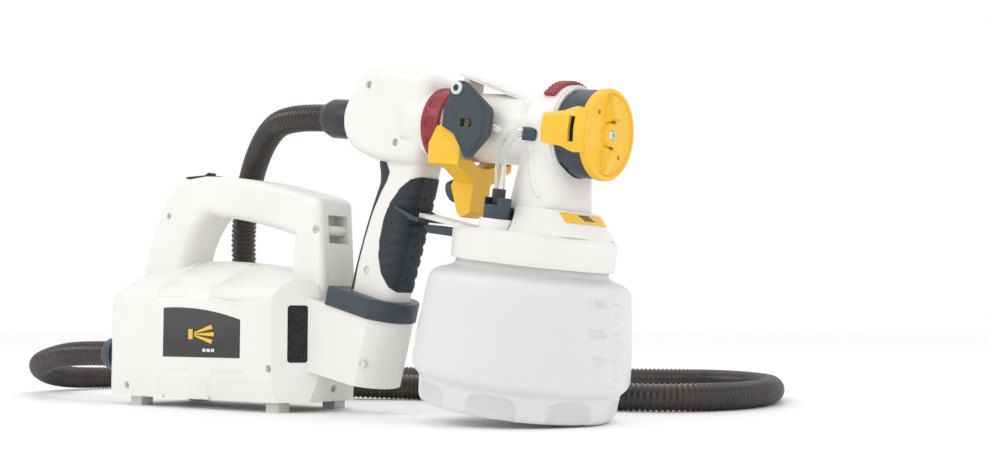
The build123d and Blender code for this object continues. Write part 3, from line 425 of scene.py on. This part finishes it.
def air_hose():
    line = evenly_spaced(centre_line(HOSE_ROUTE), RIB_PITCH / len(RIB_RADII) / 1000)
    points, faces = tube_along(line, RIB_RADII, HOSE_ROUND)
    faces += [tuple(range(HOSE_ROUND)), tuple(range(len(points) - HOSE_ROUND, len(points)))]
    hose = piece_from("air_hose_ribbed", points, faces, None, "hose_dark")
    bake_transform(hose)
    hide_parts("air_hose")
    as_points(line[::6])


air_hose()

# ---------------------------------------------------------------- more mesh helpers
def lathe(name, profile, body, slot, place, around=96, **options):
    """A solid of revolution. place(along, radius, turn) puts a millimetre point in the frame."""
    points = [place(a, r, 2 * pi * j / around) for a, r in profile for j in range(around)]
    faces = grid_faces(len(profile), around, wrap_rows=True)
    return piece_from(name, points, faces, body, slot, **options)


def sheet_solid(name, outer, inner, rows, columns, body, slot, skip=(), **options):
    """A wall between two grids of points. skip lists the cells that are left open."""
    count = rows * columns
    cells = [(i, j) for i in range(rows - 1) for j in range(columns - 1) if (i, j) not in skip]
    faces, edges = [], {}
    for i, j in cells:
        a, d = i * columns + j, (i + 1) * columns + j
        b, c = a + 1, d + 1
        faces += [(a, b, c, d), (count + d, count + c, count + b, count + a)]
        for edge in ((a, b), (b, c), (c, d), (d, a)):
            edges[frozenset(edge)] = None if frozenset(edge) in edges else edge
    faces += [(e[0], e[1], count + e[1], count + e[0]) for e in edges.values() if e]
    return piece_from(name, [*outer, *inner], faces, body, slot, smooth=False, **options)


def plate_solid(name, loops, depths, body, slot, place, upper=None, **options):
    """A plate with holes. loops are outlines, the outer one first; depths are its two faces.
    upper gives the second face other outlines, with as many corners."""
    work = bmesh.new()
    for depth, outlines in zip(depths, (loops, upper or loops)):
        edges = []
        for loop in outlines:
            verts = [work.verts.new(place(a, b, depth)) for a, b in loop]
            edges += [work.edges.new((v, w)) for v, w in zip(verts, verts[1:] + verts[:1])]
        bmesh.ops.triangle_fill(work, edges=edges, use_beauty=True)
    work.verts.ensure_lookup_table()
    total = sum(len(loop) for loop in loops)
    start = 0
    for loop in loops:
        for k in range(len(loop)):
            a, b = start + k, start + (k + 1) % len(loop)
            work.faces.new([work.verts[i] for i in (a, b, total + b, total + a)])
        start += len(loop)
    work.verts.index_update()
    points = [v.co.copy() for v in work.verts]
    faces = [tuple(v.index for v in face.verts) for face in work.faces]
    work.free()
    return piece_from(name, points, faces, body, slot, smooth=False, **options)


def circle(a, b, radius, count=24):
    turns = [2 * pi * k / count for k in range(count)]
    return [(a + radius * cos(turn), b + radius * sin(turn)) for turn in turns]


def softened(node, width_mm):
    """Rounds the edges of a CAD node's display, with its mesh as it was."""
    obj = NODES[node]
    obj.modifiers.new("weld", "WELD").merge_threshold = 0.00001
    bevelled(obj, width_mm, 2, 32)


# ---------------------------------------------------------------- cup
CUP_PROFILE = (          # height along the cup's axis and outer radius
    (-195, 0.5), (-195, 30), (-195, 58), (-194.9, 64.5), (-194.4, 67), (-193, 68.6), (-191, 69.5),
    (-189, 69.9), (-187, 70.0), (-185, 70.15), (-183, 70.3), (-181.5, 70.4), (-180.5, 70.5),
    (-179.7, 70.55), (-179, 70.6), (-178.3, 70.7), (-177.5, 70.8), (-176.5, 71.2), (-175, 72.5),
    (-173.2, 74.4), (-171, 75.7), (-169, 76.4), (-167, 76.7), (-160, 76.45), (-150, 75.8),
    (-140, 74.9), (-130, 73.8), (-120, 72.6), (-113, 71.7), (-109, 71.2), (-106.5, 70.6),
    (-104.5, 69.4), (-102.8, 67.3), (-101.5, 64.6), (-100.6, 62), (-99.6, 58.6), (-98.6, 56),
    (-97.2, 54.5), (-95.4, 53.8), (-90, 53.8), (-84, 53.8), (-77.1, 53.8),
)
CUP_BOTTOM = -195
CUP_WALL = 2.2
CUP_AROUND = 320
FOOT_R = 70              # radius of the cup's foot
ARCHES = 8               # shallow arches let in round the foot
ARCH_FIRST = radians(70)
ARCH_HALF = radians(14.5)
ARCH_TOP = -178.4
ARCH_RISE = 9
ARCH_DEPTH = 1.1


def arch_depth(v, turn):
    """How far the cup's foot is let in at a place, mm."""
    off = (turn - ARCH_FIRST + pi / ARCHES) % (2 * pi / ARCHES) - pi / ARCHES
    share = abs(off) / ARCH_HALF
    if share >= 1 or v > ARCH_TOP:
        return 0.0
    top = ARCH_TOP - ARCH_RISE * (1 - (1 - share ** 3) ** 0.5)
    inside = min((1 - share) * ARCH_HALF * FOOT_R, top - v) / ARCH_DEPTH
    return ARCH_DEPTH * max(0.0, min(1.0, inside)) if v > CUP_BOTTOM + 0.05 else 0.0


def cup_inner(v, r):
    """The inner wall's height and radius opposite an outer point."""
    at_bottom_corner = r >= 66 and v <= CUP_BOTTOM + 5
    height = v + CUP_WALL * 0.6 if at_bottom_corner else max(v, CUP_BOTTOM + CUP_WALL)
    return height, max(r - CUP_WALL, 0.2)


def paint_cup():
    turns = [2 * pi * j / CUP_AROUND for j in range(CUP_AROUND)]
    outer = [around_cup(v, r - arch_depth(v, turn), turn) for v, r in CUP_PROFILE for turn in turns]
    inner = [around_cup(*cup_inner(v, r), turn) for v, r in reversed(CUP_PROFILE) for turn in turns]
    rows = 2 * len(CUP_PROFILE)
    cup = piece_from("paint_cup", [*outer, *inner], grid_faces(rows, CUP_AROUND), "jar", "jar_milky")
    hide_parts("container")


paint_cup()

DIGITS = {               # strokes in a cell 0.6 wide and 1 high
    "0": ((0, 0, 0, 1), (0, 1, 0.6, 1), (0.6, 1, 0.6, 0), (0.6, 0, 0, 0)),
    "1": ((0.3, 0, 0.3, 1), (0.3, 1, 0.1, 0.8)),
    "3": ((0, 1, 0.6, 1), (0.1, 0.5, 0.6, 0.5), (0, 0, 0.6, 0), (0.6, 0, 0.6, 1)),
    "7": ((0, 1, 0.6, 1), (0.6, 1, 0.25, 0)),
}
MARKS = {1300: -112.8, 1000: -132.5, 700: -150.7, 400: -168.0}   # millilitres to height
MARKS_TURN = radians(-2)
MARKS_R = 73
MARK_LIFT = 0.3
DIGIT_SIZE = (4.4, 5.2)


def cup_radius(v):
    for (v0, r0), (v1, r1) in zip(CUP_PROFILE[3:], CUP_PROFILE[4:]):
        if v0 <= v <= v1:
            return r0 + (r1 - r0) * (v - v0) / (v1 - v0)
    return FOOT_R


def cup_marks():
    """Moulded volume marks: long ticks with a number, short ticks each 100 ml between them."""
    points, faces = [], []

    def stroke(a0, v0, a1, v1, half):
        """A raised bar between two places; a is millimetres round the cup from the marks' line."""
        run = Vector((a1 - a0, v1 - v0))
        side = Vector((-run.y, run.x)).normalized() * half
        base = len(points)
        for a, v in ((a0, v0), (a1, v1)):
            for k in (1, -1):
                for lift in (-MARK_LIFT, MARK_LIFT):
                    at_a, at_v = a + side.x * k, v + side.y * k
                    turn = MARKS_TURN - at_a / MARKS_R
                    points.append(around_cup(at_v, cup_radius(at_v) + lift, turn))
        for quad in ((0, 1, 3, 2), (4, 6, 7, 5), (0, 4, 5, 1), (2, 3, 7, 6), (1, 5, 7, 3), (0, 2, 6, 4)):
            faces.append(tuple(base + i for i in quad))

    for k in range(10):
        amount = 400 + 100 * k
        low = max(m for m in MARKS if m <= amount)
        high = min(m for m in MARKS if m >= amount)
        share = (amount - low) / (high - low) if high > low else 0
        v = MARKS[low] + (MARKS[high] - MARKS[low]) * share
        stroke(-8 if amount in MARKS else -5.5, v, 0, v, 0.3)
        if amount in MARKS and amount > 400:
            text, (wide, high) = str(amount), DIGIT_SIZE
            foot = v - high / 2
            for i, digit in enumerate(text):
                left = -13 - 4.2 * (len(text) - i)
                for x0, y0, x1, y1 in DIGITS[digit]:
                    stroke(left + wide * x0, foot + high * y0, left + wide * x1, foot + high * y1, 0.25)
    piece_from("cup_marks", points, faces, "jar", "jar_milky", smooth=False, look=LOOKS["duct_white"])


cup_marks()

# ---------------------------------------------------------------- air cap
DISC_PROFILE = (         # along the barrel, radius
    (46.4, 21.5), (46.4, 30.6), (47.0, 31.4), (50.4, 31.4), (51.9, 31.0), (52.7, 30.2), (53.0, 29.2),
    (52.7, 28.2), (51.6, 27.6), (51.3, 26.8), (51.3, 18), (51.3, 9.4), (52.6, 8.6), (53.6, 8.2),
    (53.9, 7.6), (53.9, 3.4), (53.2, 2.9), (50.0, 2.9), (50.0, 20.5),
)
TAB_STATIONS = (         # along the barrel, half width, half width of the sunk panel or slot
    (20, 9.4, 9.4), (21.5, 9.6, 7.2), (23, 9.9, 7.3), (36, 11.6, 8.6), (38, 12.2, 9.2),
    (41.5, 13.9, 8.4), (46, 15.2, 8.4), (48.5, 15.8, 9.4), (51.2, 16.0, 9.6),
)
TAB_R = 35               # radius at which the tabs' widths are measured
TAB_SLOT_CELLS = ((5, 1), (5, 2))
HORN_BASE = ((28.2, -7.4), (28.2, 7.4), (7.8, 7.2), (7.8, -7.2))
HORN_TOP = ((52.4, 27.0, -3.0), (52.4, 27.0, 3.0), (57.9, 11.6, 4.6), (57.9, 11.6, -4.6))
CORNERS = ((-1, -1), (1, -1), (1, 1), (-1, 1))


def cap_tab(side, name):
    """A side tab of the air cap, with its sunk finger panel and the slot behind the disc."""
    outer, inner = [], []
    for u, half, slot_half in TAB_STATIONS:
        over = 36.5 if u < 47 else 36.5 - (u - 46) * 0.95
        under = 33.8 if u < 47 else 31.6
        for s in (-half, -slot_half, 0, slot_half, half):
            sunk = 0.9 if 23 <= u <= 36 and abs(s) <= slot_half - 0.01 else 0.0
            turn = (pi / 2 + s / TAB_R) * side
            outer.append(around_barrel(u, over - sunk, turn))
            inner.append(around_barrel(u, under, turn))
    tab = sheet_solid(
        f"cap_tab_{name}", outer, inner, len(TAB_STATIONS), 5, "cap", "accent_yellow",
        skip=TAB_SLOT_CELLS,
    )
    bevelled(tab, 0.5, 2, 25)


def cap_horn(side, name):
    """An air horn, highest at its inner end, with the jet's hole there."""
    horn = prism_between(
        f"cap_horn_{name}", [gun_at(50.9, v * side, w) for v, w in HORN_BASE],
        [gun_at(u, v * side, w) for u, v, w in HORN_TOP], "cap", "accent_yellow",
    )
    bevelled(horn, 0.7, 3, 15)
    # the jet's hole: a dark amber block of painted shade at the horn's inner end
    low, high = ([
        gun_at(u + 0.9 * b, (v + 0.5 * b) * side, 1.3 * a) for a, b in CORNERS
    ] for u, v in ((53.6, 8.9), (54.6, 8.2)))
    prism_between(f"cap_jet_{name}", low, high, "cap", "accent_yellow", look=HOLE_PAINTED_SHADE)


def cap_hole(name, v, w, ends, around):
    """Painted shade: a dark amber plug for the shade inside a round hole. ends are its place along the
    barrel and radius, twice.
    """
    turns = [2 * pi * k / around for k in range(around)]
    low, high = ([gun_at(u, v + r * sin(turn), w + r * cos(turn)) for turn in turns] for u, r in ends)
    prism_between(name, low, high, "cap", "accent_yellow", look=HOLE_PAINTED_SHADE)


def air_cap():
    disc = lathe("cap_disc", DISC_PROFILE, "cap", "accent_yellow", around_barrel)
    disc.modifiers.new("split", "EDGE_SPLIT").split_angle = radians(40)
    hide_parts("air_cap")
    cap_tab(1, "near")
    cap_tab(-1, "far")
    cap_horn(1, "upper")
    cap_horn(-1, "lower")
    # dark amber plugs of painted shade in the two vents and the bore
    cap_hole("cap_vent_near", 14, 15, ((50.2, 1.5), (51.36, 1.5)), 20)
    cap_hole("cap_vent_far", -14, -15, ((50.2, 1.5), (51.36, 1.5)), 20)
    cap_hole("cap_bore", 0, 0, ((53.2, 3.0), (54.0, 3.4)), 24)


air_cap()

# ---------------------------------------------------------------- side plates and pivot screws
PLATE_EDGE = (           # outline of the plate, ahead and above
    (-55.5, 29.6), (-50.3, 29.5), (-46.1, 28.0), (-24.2, 11.4), (-22.6, 7.3), (-23.4, -7.8),
    (-37.4, -23.6), (-43.0, -24.2), (-55.0, -7.8), (-66.0, -3.0), (-65.9, 11.0), (-62.4, 15.6),
    (-61.8, 22.9), (-59.8, 27.2),
)
PLATE_FACET = (          # foot of the raised facet on it
    (-53.6, 27.9), (-50.0, 27.8), (-46.8, 27.0), (-30.6, 12.3), (-28.8, 8.0), (-28.4, -9.6),
    (-37.4, -21.2), (-42.3, -21.6), (-51.2, -5.0), (-54.4, 7.2), (-59.6, 13.6), (-60.6, 16.4),
    (-60.2, 22.2), (-58.2, 25.6),
)
FACET_MIDDLE = (-44, 4)
FACET_SLOPE = 1.9        # how far the facet's crown lies inside its foot
PIN_SLOT = (
    (-48.3, 2.2), (-47.6, 2.9), (-39.4, 2.9), (-38.7, 2.2), (-38.7, -2.2), (-39.4, -2.9),
    (-47.6, -2.9), (-48.3, -2.2),
)
PIVOT_AT = (-54, 24)
PIN_AT = (-42, 0)


def side_plate(side, name):
    def place(u, v, w):
        return gun_at(u, v, w * side)

    holes = [PIN_SLOT, circle(*PIVOT_AT, 2.6)]
    base = plate_solid(
        f"side_plate_{name}_base", [PLATE_EDGE, *holes], (32.7, 35.3), "gun", "part_slate", place,
    )
    bevelled(base, 0.5, 2, 40)
    crown = []
    for u, v in PLATE_FACET:
        du, dv = FACET_MIDDLE[0] - u, FACET_MIDDLE[1] - v
        shift = FACET_SLOPE / (du * du + dv * dv) ** 0.5
        crown.append((u + du * shift, v + dv * shift))
    facet = plate_solid(
        f"side_plate_{name}_facet", [PLATE_FACET, *holes], (35.1, 36.95), "gun", "part_slate", place,
        upper=[crown, *holes],
    )
    bevelled(facet, 0.35, 2, 20)
    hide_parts(f"side_plate_{name}")


side_plate(1, "near")
side_plate(-1, "far")


def on_plate_side(side, middle):
    """A lathe's place function for an axis across the gun: its points are w, r and turn."""
    def place(w, r, turn):
        return gun_at(middle[0] + r * cos(turn), middle[1] + r * sin(turn), w * side)

    return place


COLLAR_PROFILE = ((36.9, 2.3), (36.9, 4.7), (38.4, 4.7), (39.0, 4.2), (39.0, 2.7), (38.7, 2.3))
SOCKET_PROFILE = ((37.2, 0.2), (37.2, 2.35), (38.8, 2.35), (38.8, 1.9), (38.6, 0.2))
PIN_PROFILE = ((36.4, 0.2), (36.4, 2.25), (36.8, 2.25), (37.1, 1.7), (37.25, 0.2))


def pivot_collar(side, name):
    """A pale collar and a dark socket on the pivot screw's head."""
    place = on_plate_side(side, PIVOT_AT)
    lathe(f"pivot_collar_{name}", COLLAR_PROFILE, "gun", "duct_white", place, around=40)
    lathe(f"pivot_socket_{name}", SOCKET_PROFILE, "gun", "trim_dark", place, around=24)


def pin_cap(side, name):
    """The dark end of the needle's cross pin, in the side plate's slot."""
    place = on_plate_side(side, PIN_AT)
    lathe(f"pin_cap_{name}", PIN_PROFILE, "needle", "part_slate", place, around=32)


pin_cap(1, "near")
pin_cap(-1, "far")
pivot_collar(1, "near")
pivot_collar(-1, "far")

# ---------------------------------------------------------------- finger grooves on the soft pads
PAD_VOXEL = 0.0007       # metres
RIB_STEP = 8.6
RIB_DEPTH = 0.0009       # metres
RIBS_TOP = -50
RIBS_REACH = 19          # how far back from the grip's front the ribs fade out
RIBS_FADE = 8


def in_gun(point):
    """(ahead, above, near) in millimetres of a point in metres."""
    offset = point * 1000 - GUN_ORIGIN
    return offset.dot(AHEAD), offset.dot(ABOVE), offset.dot(NEAR)


def ribbed_pad(node):
    """The pad's own shape with finger grooves pressed into its front half."""
    source = NODES[node]
    obj = bpy.data.objects.new(f"{node}_ribbed", source.data.copy())
    bpy.context.scene.collection.objects.link(obj)
    remesh = obj.modifiers.new("remesh", "REMESH")
    remesh.mode = "VOXEL"
    remesh.voxel_size = PAD_VOXEL
    bpy.context.view_layer.update()
    mesh = bpy.data.meshes.new_from_object(obj.evaluated_get(bpy.context.evaluated_depsgraph_get()))
    obj.modifiers.clear()
    obj.data = mesh
    normals = [Vector(v.normal) for v in mesh.vertices]
    for vertex, normal in zip(mesh.vertices, normals):
        u, v, _ = in_gun(vertex.co)
        front = -97.5 + (v + 40) * 0.125
        behind = front - u
        fade_back = max(0.0, min(1.0, (RIBS_REACH - behind) / RIBS_FADE))
        fade_foot = max(0.0, min(1.0, (v + 126) / 4))
        phase = ((v + 52 + behind * 0.12) / RIB_STEP) % 1
        groove = max(0.0, 1 - (abs(phase - 0.5) / 0.27) ** 2) if v <= RIBS_TOP else 0
        vertex.co -= normal * (RIB_DEPTH * groove * fade_back * fade_foot)
    for polygon in mesh.polygons:
        polygon.use_smooth = True
    mesh.materials.clear()
    mesh.materials.append(LOOKS["grip_slate"])
    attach(obj, "gun")
    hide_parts(node)


ribbed_pad("grip_pad_near")
ribbed_pad("grip_pad_far")


def skin_of(node):
    """A node's surface, for casting onto."""
    mesh = NODES[node].data
    corners = [v.co for v in mesh.vertices]
    return BVHTree.FromPolygons(corners, [tuple(p.vertices) for p in mesh.polygons])


SEAM_POINTS, SEAM_TOP, SEAM_STEP = 60, -42, 1.48
SEAM_R, SEAM_ROUND = 0.75, 8
SEAM_DEPTH = 0.0006      # how far its axis lies under the pad's front, metres


def grip_seam():
    """The dark joint between the two pads, down the front of the grip."""
    tree = skin_of("grip_pad_near")
    line = []
    for k in range(SEAM_POINTS):
        place, _, _, _ = tree.ray_cast(gun_at(-40, SEAM_TOP - SEAM_STEP * k, 0.4), -AHEAD)
        if place is not None:
            line.append(Vector((place.x, 0, place.z)) - AHEAD * SEAM_DEPTH)
    points, faces = tube_along(line, (SEAM_R,), SEAM_ROUND)
    faces += [tuple(range(SEAM_ROUND)), tuple(range(len(points) - SEAM_ROUND, len(points)))]
    piece_from("grip_seam", points, faces, "gun", "trim_dark")


grip_seam()

# ---------------------------------------------------------------- softened CAD nodes
EDGE_RADII = {           # millimetres
    "trigger": 0.8, "container_lid": 0.8, "barrel_cover": 0.6, "coupling_ring": 0.35,
    "dock_collar": 0.5, "lid_clip": 0.5, "grip_fork": 0.3, "width_slider": 0.3, "union_nut": 0.4,
    "flow_knob": 0.5, "valve_cover": 0.4, "power_switch": 0.4, "switch_bezel": 0.3, "feet": 0.5,
    "hose_plug": 0.5, "hose_cuff": 0.5, "vent_nipple": 0.4, "tube_connector": 0.4,
    "housing_near_half": 0.25, "housing_far_half": 0.25, "gun_shell_near": 0.2, "gun_shell_far": 0.2,
}
for node, width in EDGE_RADII.items():
    softened(node, width)

# ---------------------------------------------------------------- name plate mark and badge mark
def raised_marks(name, outlines, place, depths, body, slot):
    """Several flat raised shapes in one piece."""
    points, faces = [], []
    for outline in outlines:
        start, count = len(points), len(outline)
        for depth in depths:
            points += [place(a, b, depth) for a, b in outline]
        faces += [tuple(start + i for i in range(count)), tuple(start + count + i for i in range(count))]
        faces += [
            (start + i, start + (i + 1) % count, start + count + (i + 1) % count, start + count + i)
            for i in range(count)
        ]
    return piece_from(name, points, faces, body, slot, smooth=False)


plate_low, plate_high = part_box("name_plate")
PLATE_MIDDLE = (plate_low[0] + plate_high[0]) / 2
PLATE_FACE = plate_low[1]
MARK_HEIGHT = 0.060      # middle of the spray mark above the floor, metres
MARK_DEPTHS = (-0.2, 0.25)


def on_plate(a, b, lift):
    return Vector((PLATE_MIDDLE + a / 1000, PLATE_FACE - lift / 1000, MARK_HEIGHT + b / 1000))


raised_marks(
    "plate_mark",
    [
        [(-14, -4), (-9, -4), (-9, 4), (-14, 4)],
        [(-7, -1.6), (13, -7.5), (14.5, -4.4), (-7, -0.6)],
        [(-7, -0.3), (16, -1.6), (16, 1.6), (-7, 0.3)],
        [(-7, 0.6), (14.5, 4.4), (13, 7.5), (-7, 1.6)],
    ],
    on_plate, MARK_DEPTHS, "base", "accent_yellow",
)
raised_marks(
    "plate_bars",
    [[(a, -14), (a + 3.6, -14), (a + 3.6, -11.5), (a, -11.5)] for a in (3, 8, 13)],
    on_plate, MARK_DEPTHS, "base", "duct_white",
)

# ---------------------------------------------------------------- moulded beads
BEAD_STEP = 1.5
CAST_FROM = 0.15         # metres from the middle plane
CAST_STOP = 0.012        # a hit nearer the middle plane than this has missed the flank
BEADS = (                # along the base unit, height
    ((-32, 126), (-49, 101), (-46, 92), (-14, 91)),
    ((34, 120), (14, 97), (18, 88), (49, 84)),
    ((-8, 31), (-37, 31), (-44, 20), (-37, 4)),
    ((55, 31), (24, 31), (17, 20), (17, 4)),
)
BEAD_SECTION = ((-2.1, -0.6), (-1.4, 0.6), (-0.6, 1.05), (0.6, 1.05), (1.4, 0.6), (2.1, -0.6))


def bead(name, line, skin, place_at, body="base", side=1, section=BEAD_SECTION):
    """A moulded bead on the skin under its line. side is 1 on the near side and -1 on the far one."""
    spots = []
    for (x0, z0), (x1, z1) in zip(line, line[1:]):
        steps = max(2, int(((x1 - x0) ** 2 + (z1 - z0) ** 2) ** 0.5 / BEAD_STEP))
        spots += [(x0 + (x1 - x0) * k / steps, z0 + (z1 - z0) * k / steps) for k in range(steps)]
    spots.append(line[-1])
    hits = []
    for x, z in spots:
        start = place_at(x, z)
        start.y = -CAST_FROM * side
        place, normal, _, _ = skin.ray_cast(start, Vector((0, side, 0)))
        if place is not None and place.y * side < -CAST_STOP:
            hits.append((place, normal if normal.y * side < 0 else -normal))
    points = []
    for i, (place, normal) in enumerate(hits):
        ahead = (hits[min(i + 1, len(hits) - 1)][0] - hits[max(i - 1, 0)][0]).normalized()
        across = ahead.cross(normal).normalized()
        points += [place + across * a / 1000 + normal * b / 1000 for a, b in section]
    count = len(section)
    faces = grid_faces(len(hits), count)
    faces += [tuple(range(count)), tuple(range(len(points) - count, len(points)))]
    piece_from(name, points, faces, body, "shell_cream")


flank_skin = skin_of("housing_near_half")
for number, line in enumerate(BEADS):
    bead(f"housing_bead_{number}", line, flank_skin, lambda x, z: base_at(x, 0, z))

NECK_RIDGE = (           # ahead, above
    (-12.5, 21.5), (-8.2, 18.8), (-3.2, 14.8), (0.9, 9.6), (3.8, 2.5), (6.2, -7.1), (8.0, -16),
    (10.1, -25.7), (12.6, -34.5), (16.2, -42.0), (20.5, -46.8),
)
RIDGE_SECTION = ((-2.4, -0.5), (-1.5, 0.35), (-0.5, 0.95), (0.5, 0.95), (1.5, 0.35), (2.4, -0.5))
neck_skin = skin_of("front_housing")
for side, name in ((1, "near"), (-1, "far")):
    bead(f"neck_ridge_{name}", NECK_RIDGE, neck_skin, gun_at, "gun", side, RIDGE_SECTION)

# ---------------------------------------------------------------- small gun details
SLOPE_TOP = (37.3, -54.0)       # front slope of the neck's foot, under the badge
SLOPE_RUN = (0.675, -0.738)
SLOPE_OUT = (0.738, 0.675)


def on_badge(a, b, lift):
    ahead = SLOPE_TOP[0] + SLOPE_RUN[0] * b + SLOPE_OUT[0] * lift
    above = SLOPE_TOP[1] + SLOPE_RUN[1] * b + SLOPE_OUT[1] * lift
    return gun_at(ahead, above, a)


def badge_bar(k):
    right, left, low = 9 - 1.5 * k, -4 - 1.5 * k, 3.2 + 1.7 * k
    return [(right, low), (left, low), (left, low + 1), (right, low + 1)]


raised_marks(
    "badge_mark", [badge_bar(k) for k in range(3)], on_badge, (-0.3, 0.55), "gun", "trim_dark",
)
LUG = ((-26, 1), (-20.5, -1), (-19, -3.2), (-20.5, -4.8), (-26, -4.2))
lug = prism_between(
    "barrel_lug", [gun_at(u, v, 24) for u, v in LUG], [gun_at(u, v, 30.5) for u, v in LUG],
    "gun", "shell_cream",
)
bevelled(lug, 0.5)

# ---------------------------------------------------------------- floor and light
FLOOR_HALF = 6
floor_mesh = bpy.data.meshes.new("floor")
floor_mesh.from_pydata([(a * FLOOR_HALF, b * FLOOR_HALF, 0) for a, b in CORNERS], [], [(0, 1, 2, 3)])
floor = bpy.data.objects.new("floor", floor_mesh)
bpy.context.scene.collection.objects.link(floor)
floor_mesh.materials.append(new_material("floor_white", (0.96, 0.96, 0.96), 0.55)[0])

world = bpy.data.worlds.new("studio")
world.use_nodes = True
world.node_tree.nodes["Background"].inputs["Color"].default_value = (1, 1, 1, 1)
world.node_tree.nodes["Background"].inputs["Strength"].default_value = 1.0
bpy.context.scene.world = world


LIGHTS_AIM = (0, 0, 0.1)


def soft_light(name, place, target, width, power):
    data = bpy.data.lights.new(name, "AREA")
    data.shape = "RECTANGLE"
    data.size = width
    data.size_y = width * 0.8
    data.energy = power
    light = bpy.data.objects.new(name, data)
    bpy.context.scene.collection.objects.link(light)
    light.location = place
    aim = Vector(target) - Vector(place)
    light.rotation_euler = aim.to_track_quat("-Z", "Y").to_euler()


for name, place, width, watts in (
    ("key", (-0.7, -1.5, 1.5), 0.9, 8),
    ("fill", (2.0, -0.6, 0.9), 1.2, 4),
    ("top", (0.1, 0.5, 2.2), 1.4, 5),
):
    soft_light(name, place, LIGHTS_AIM, width, watts)

bpy.context.scene.view_settings.view_transform = "Standard"
bpy.context.view_layer.update()
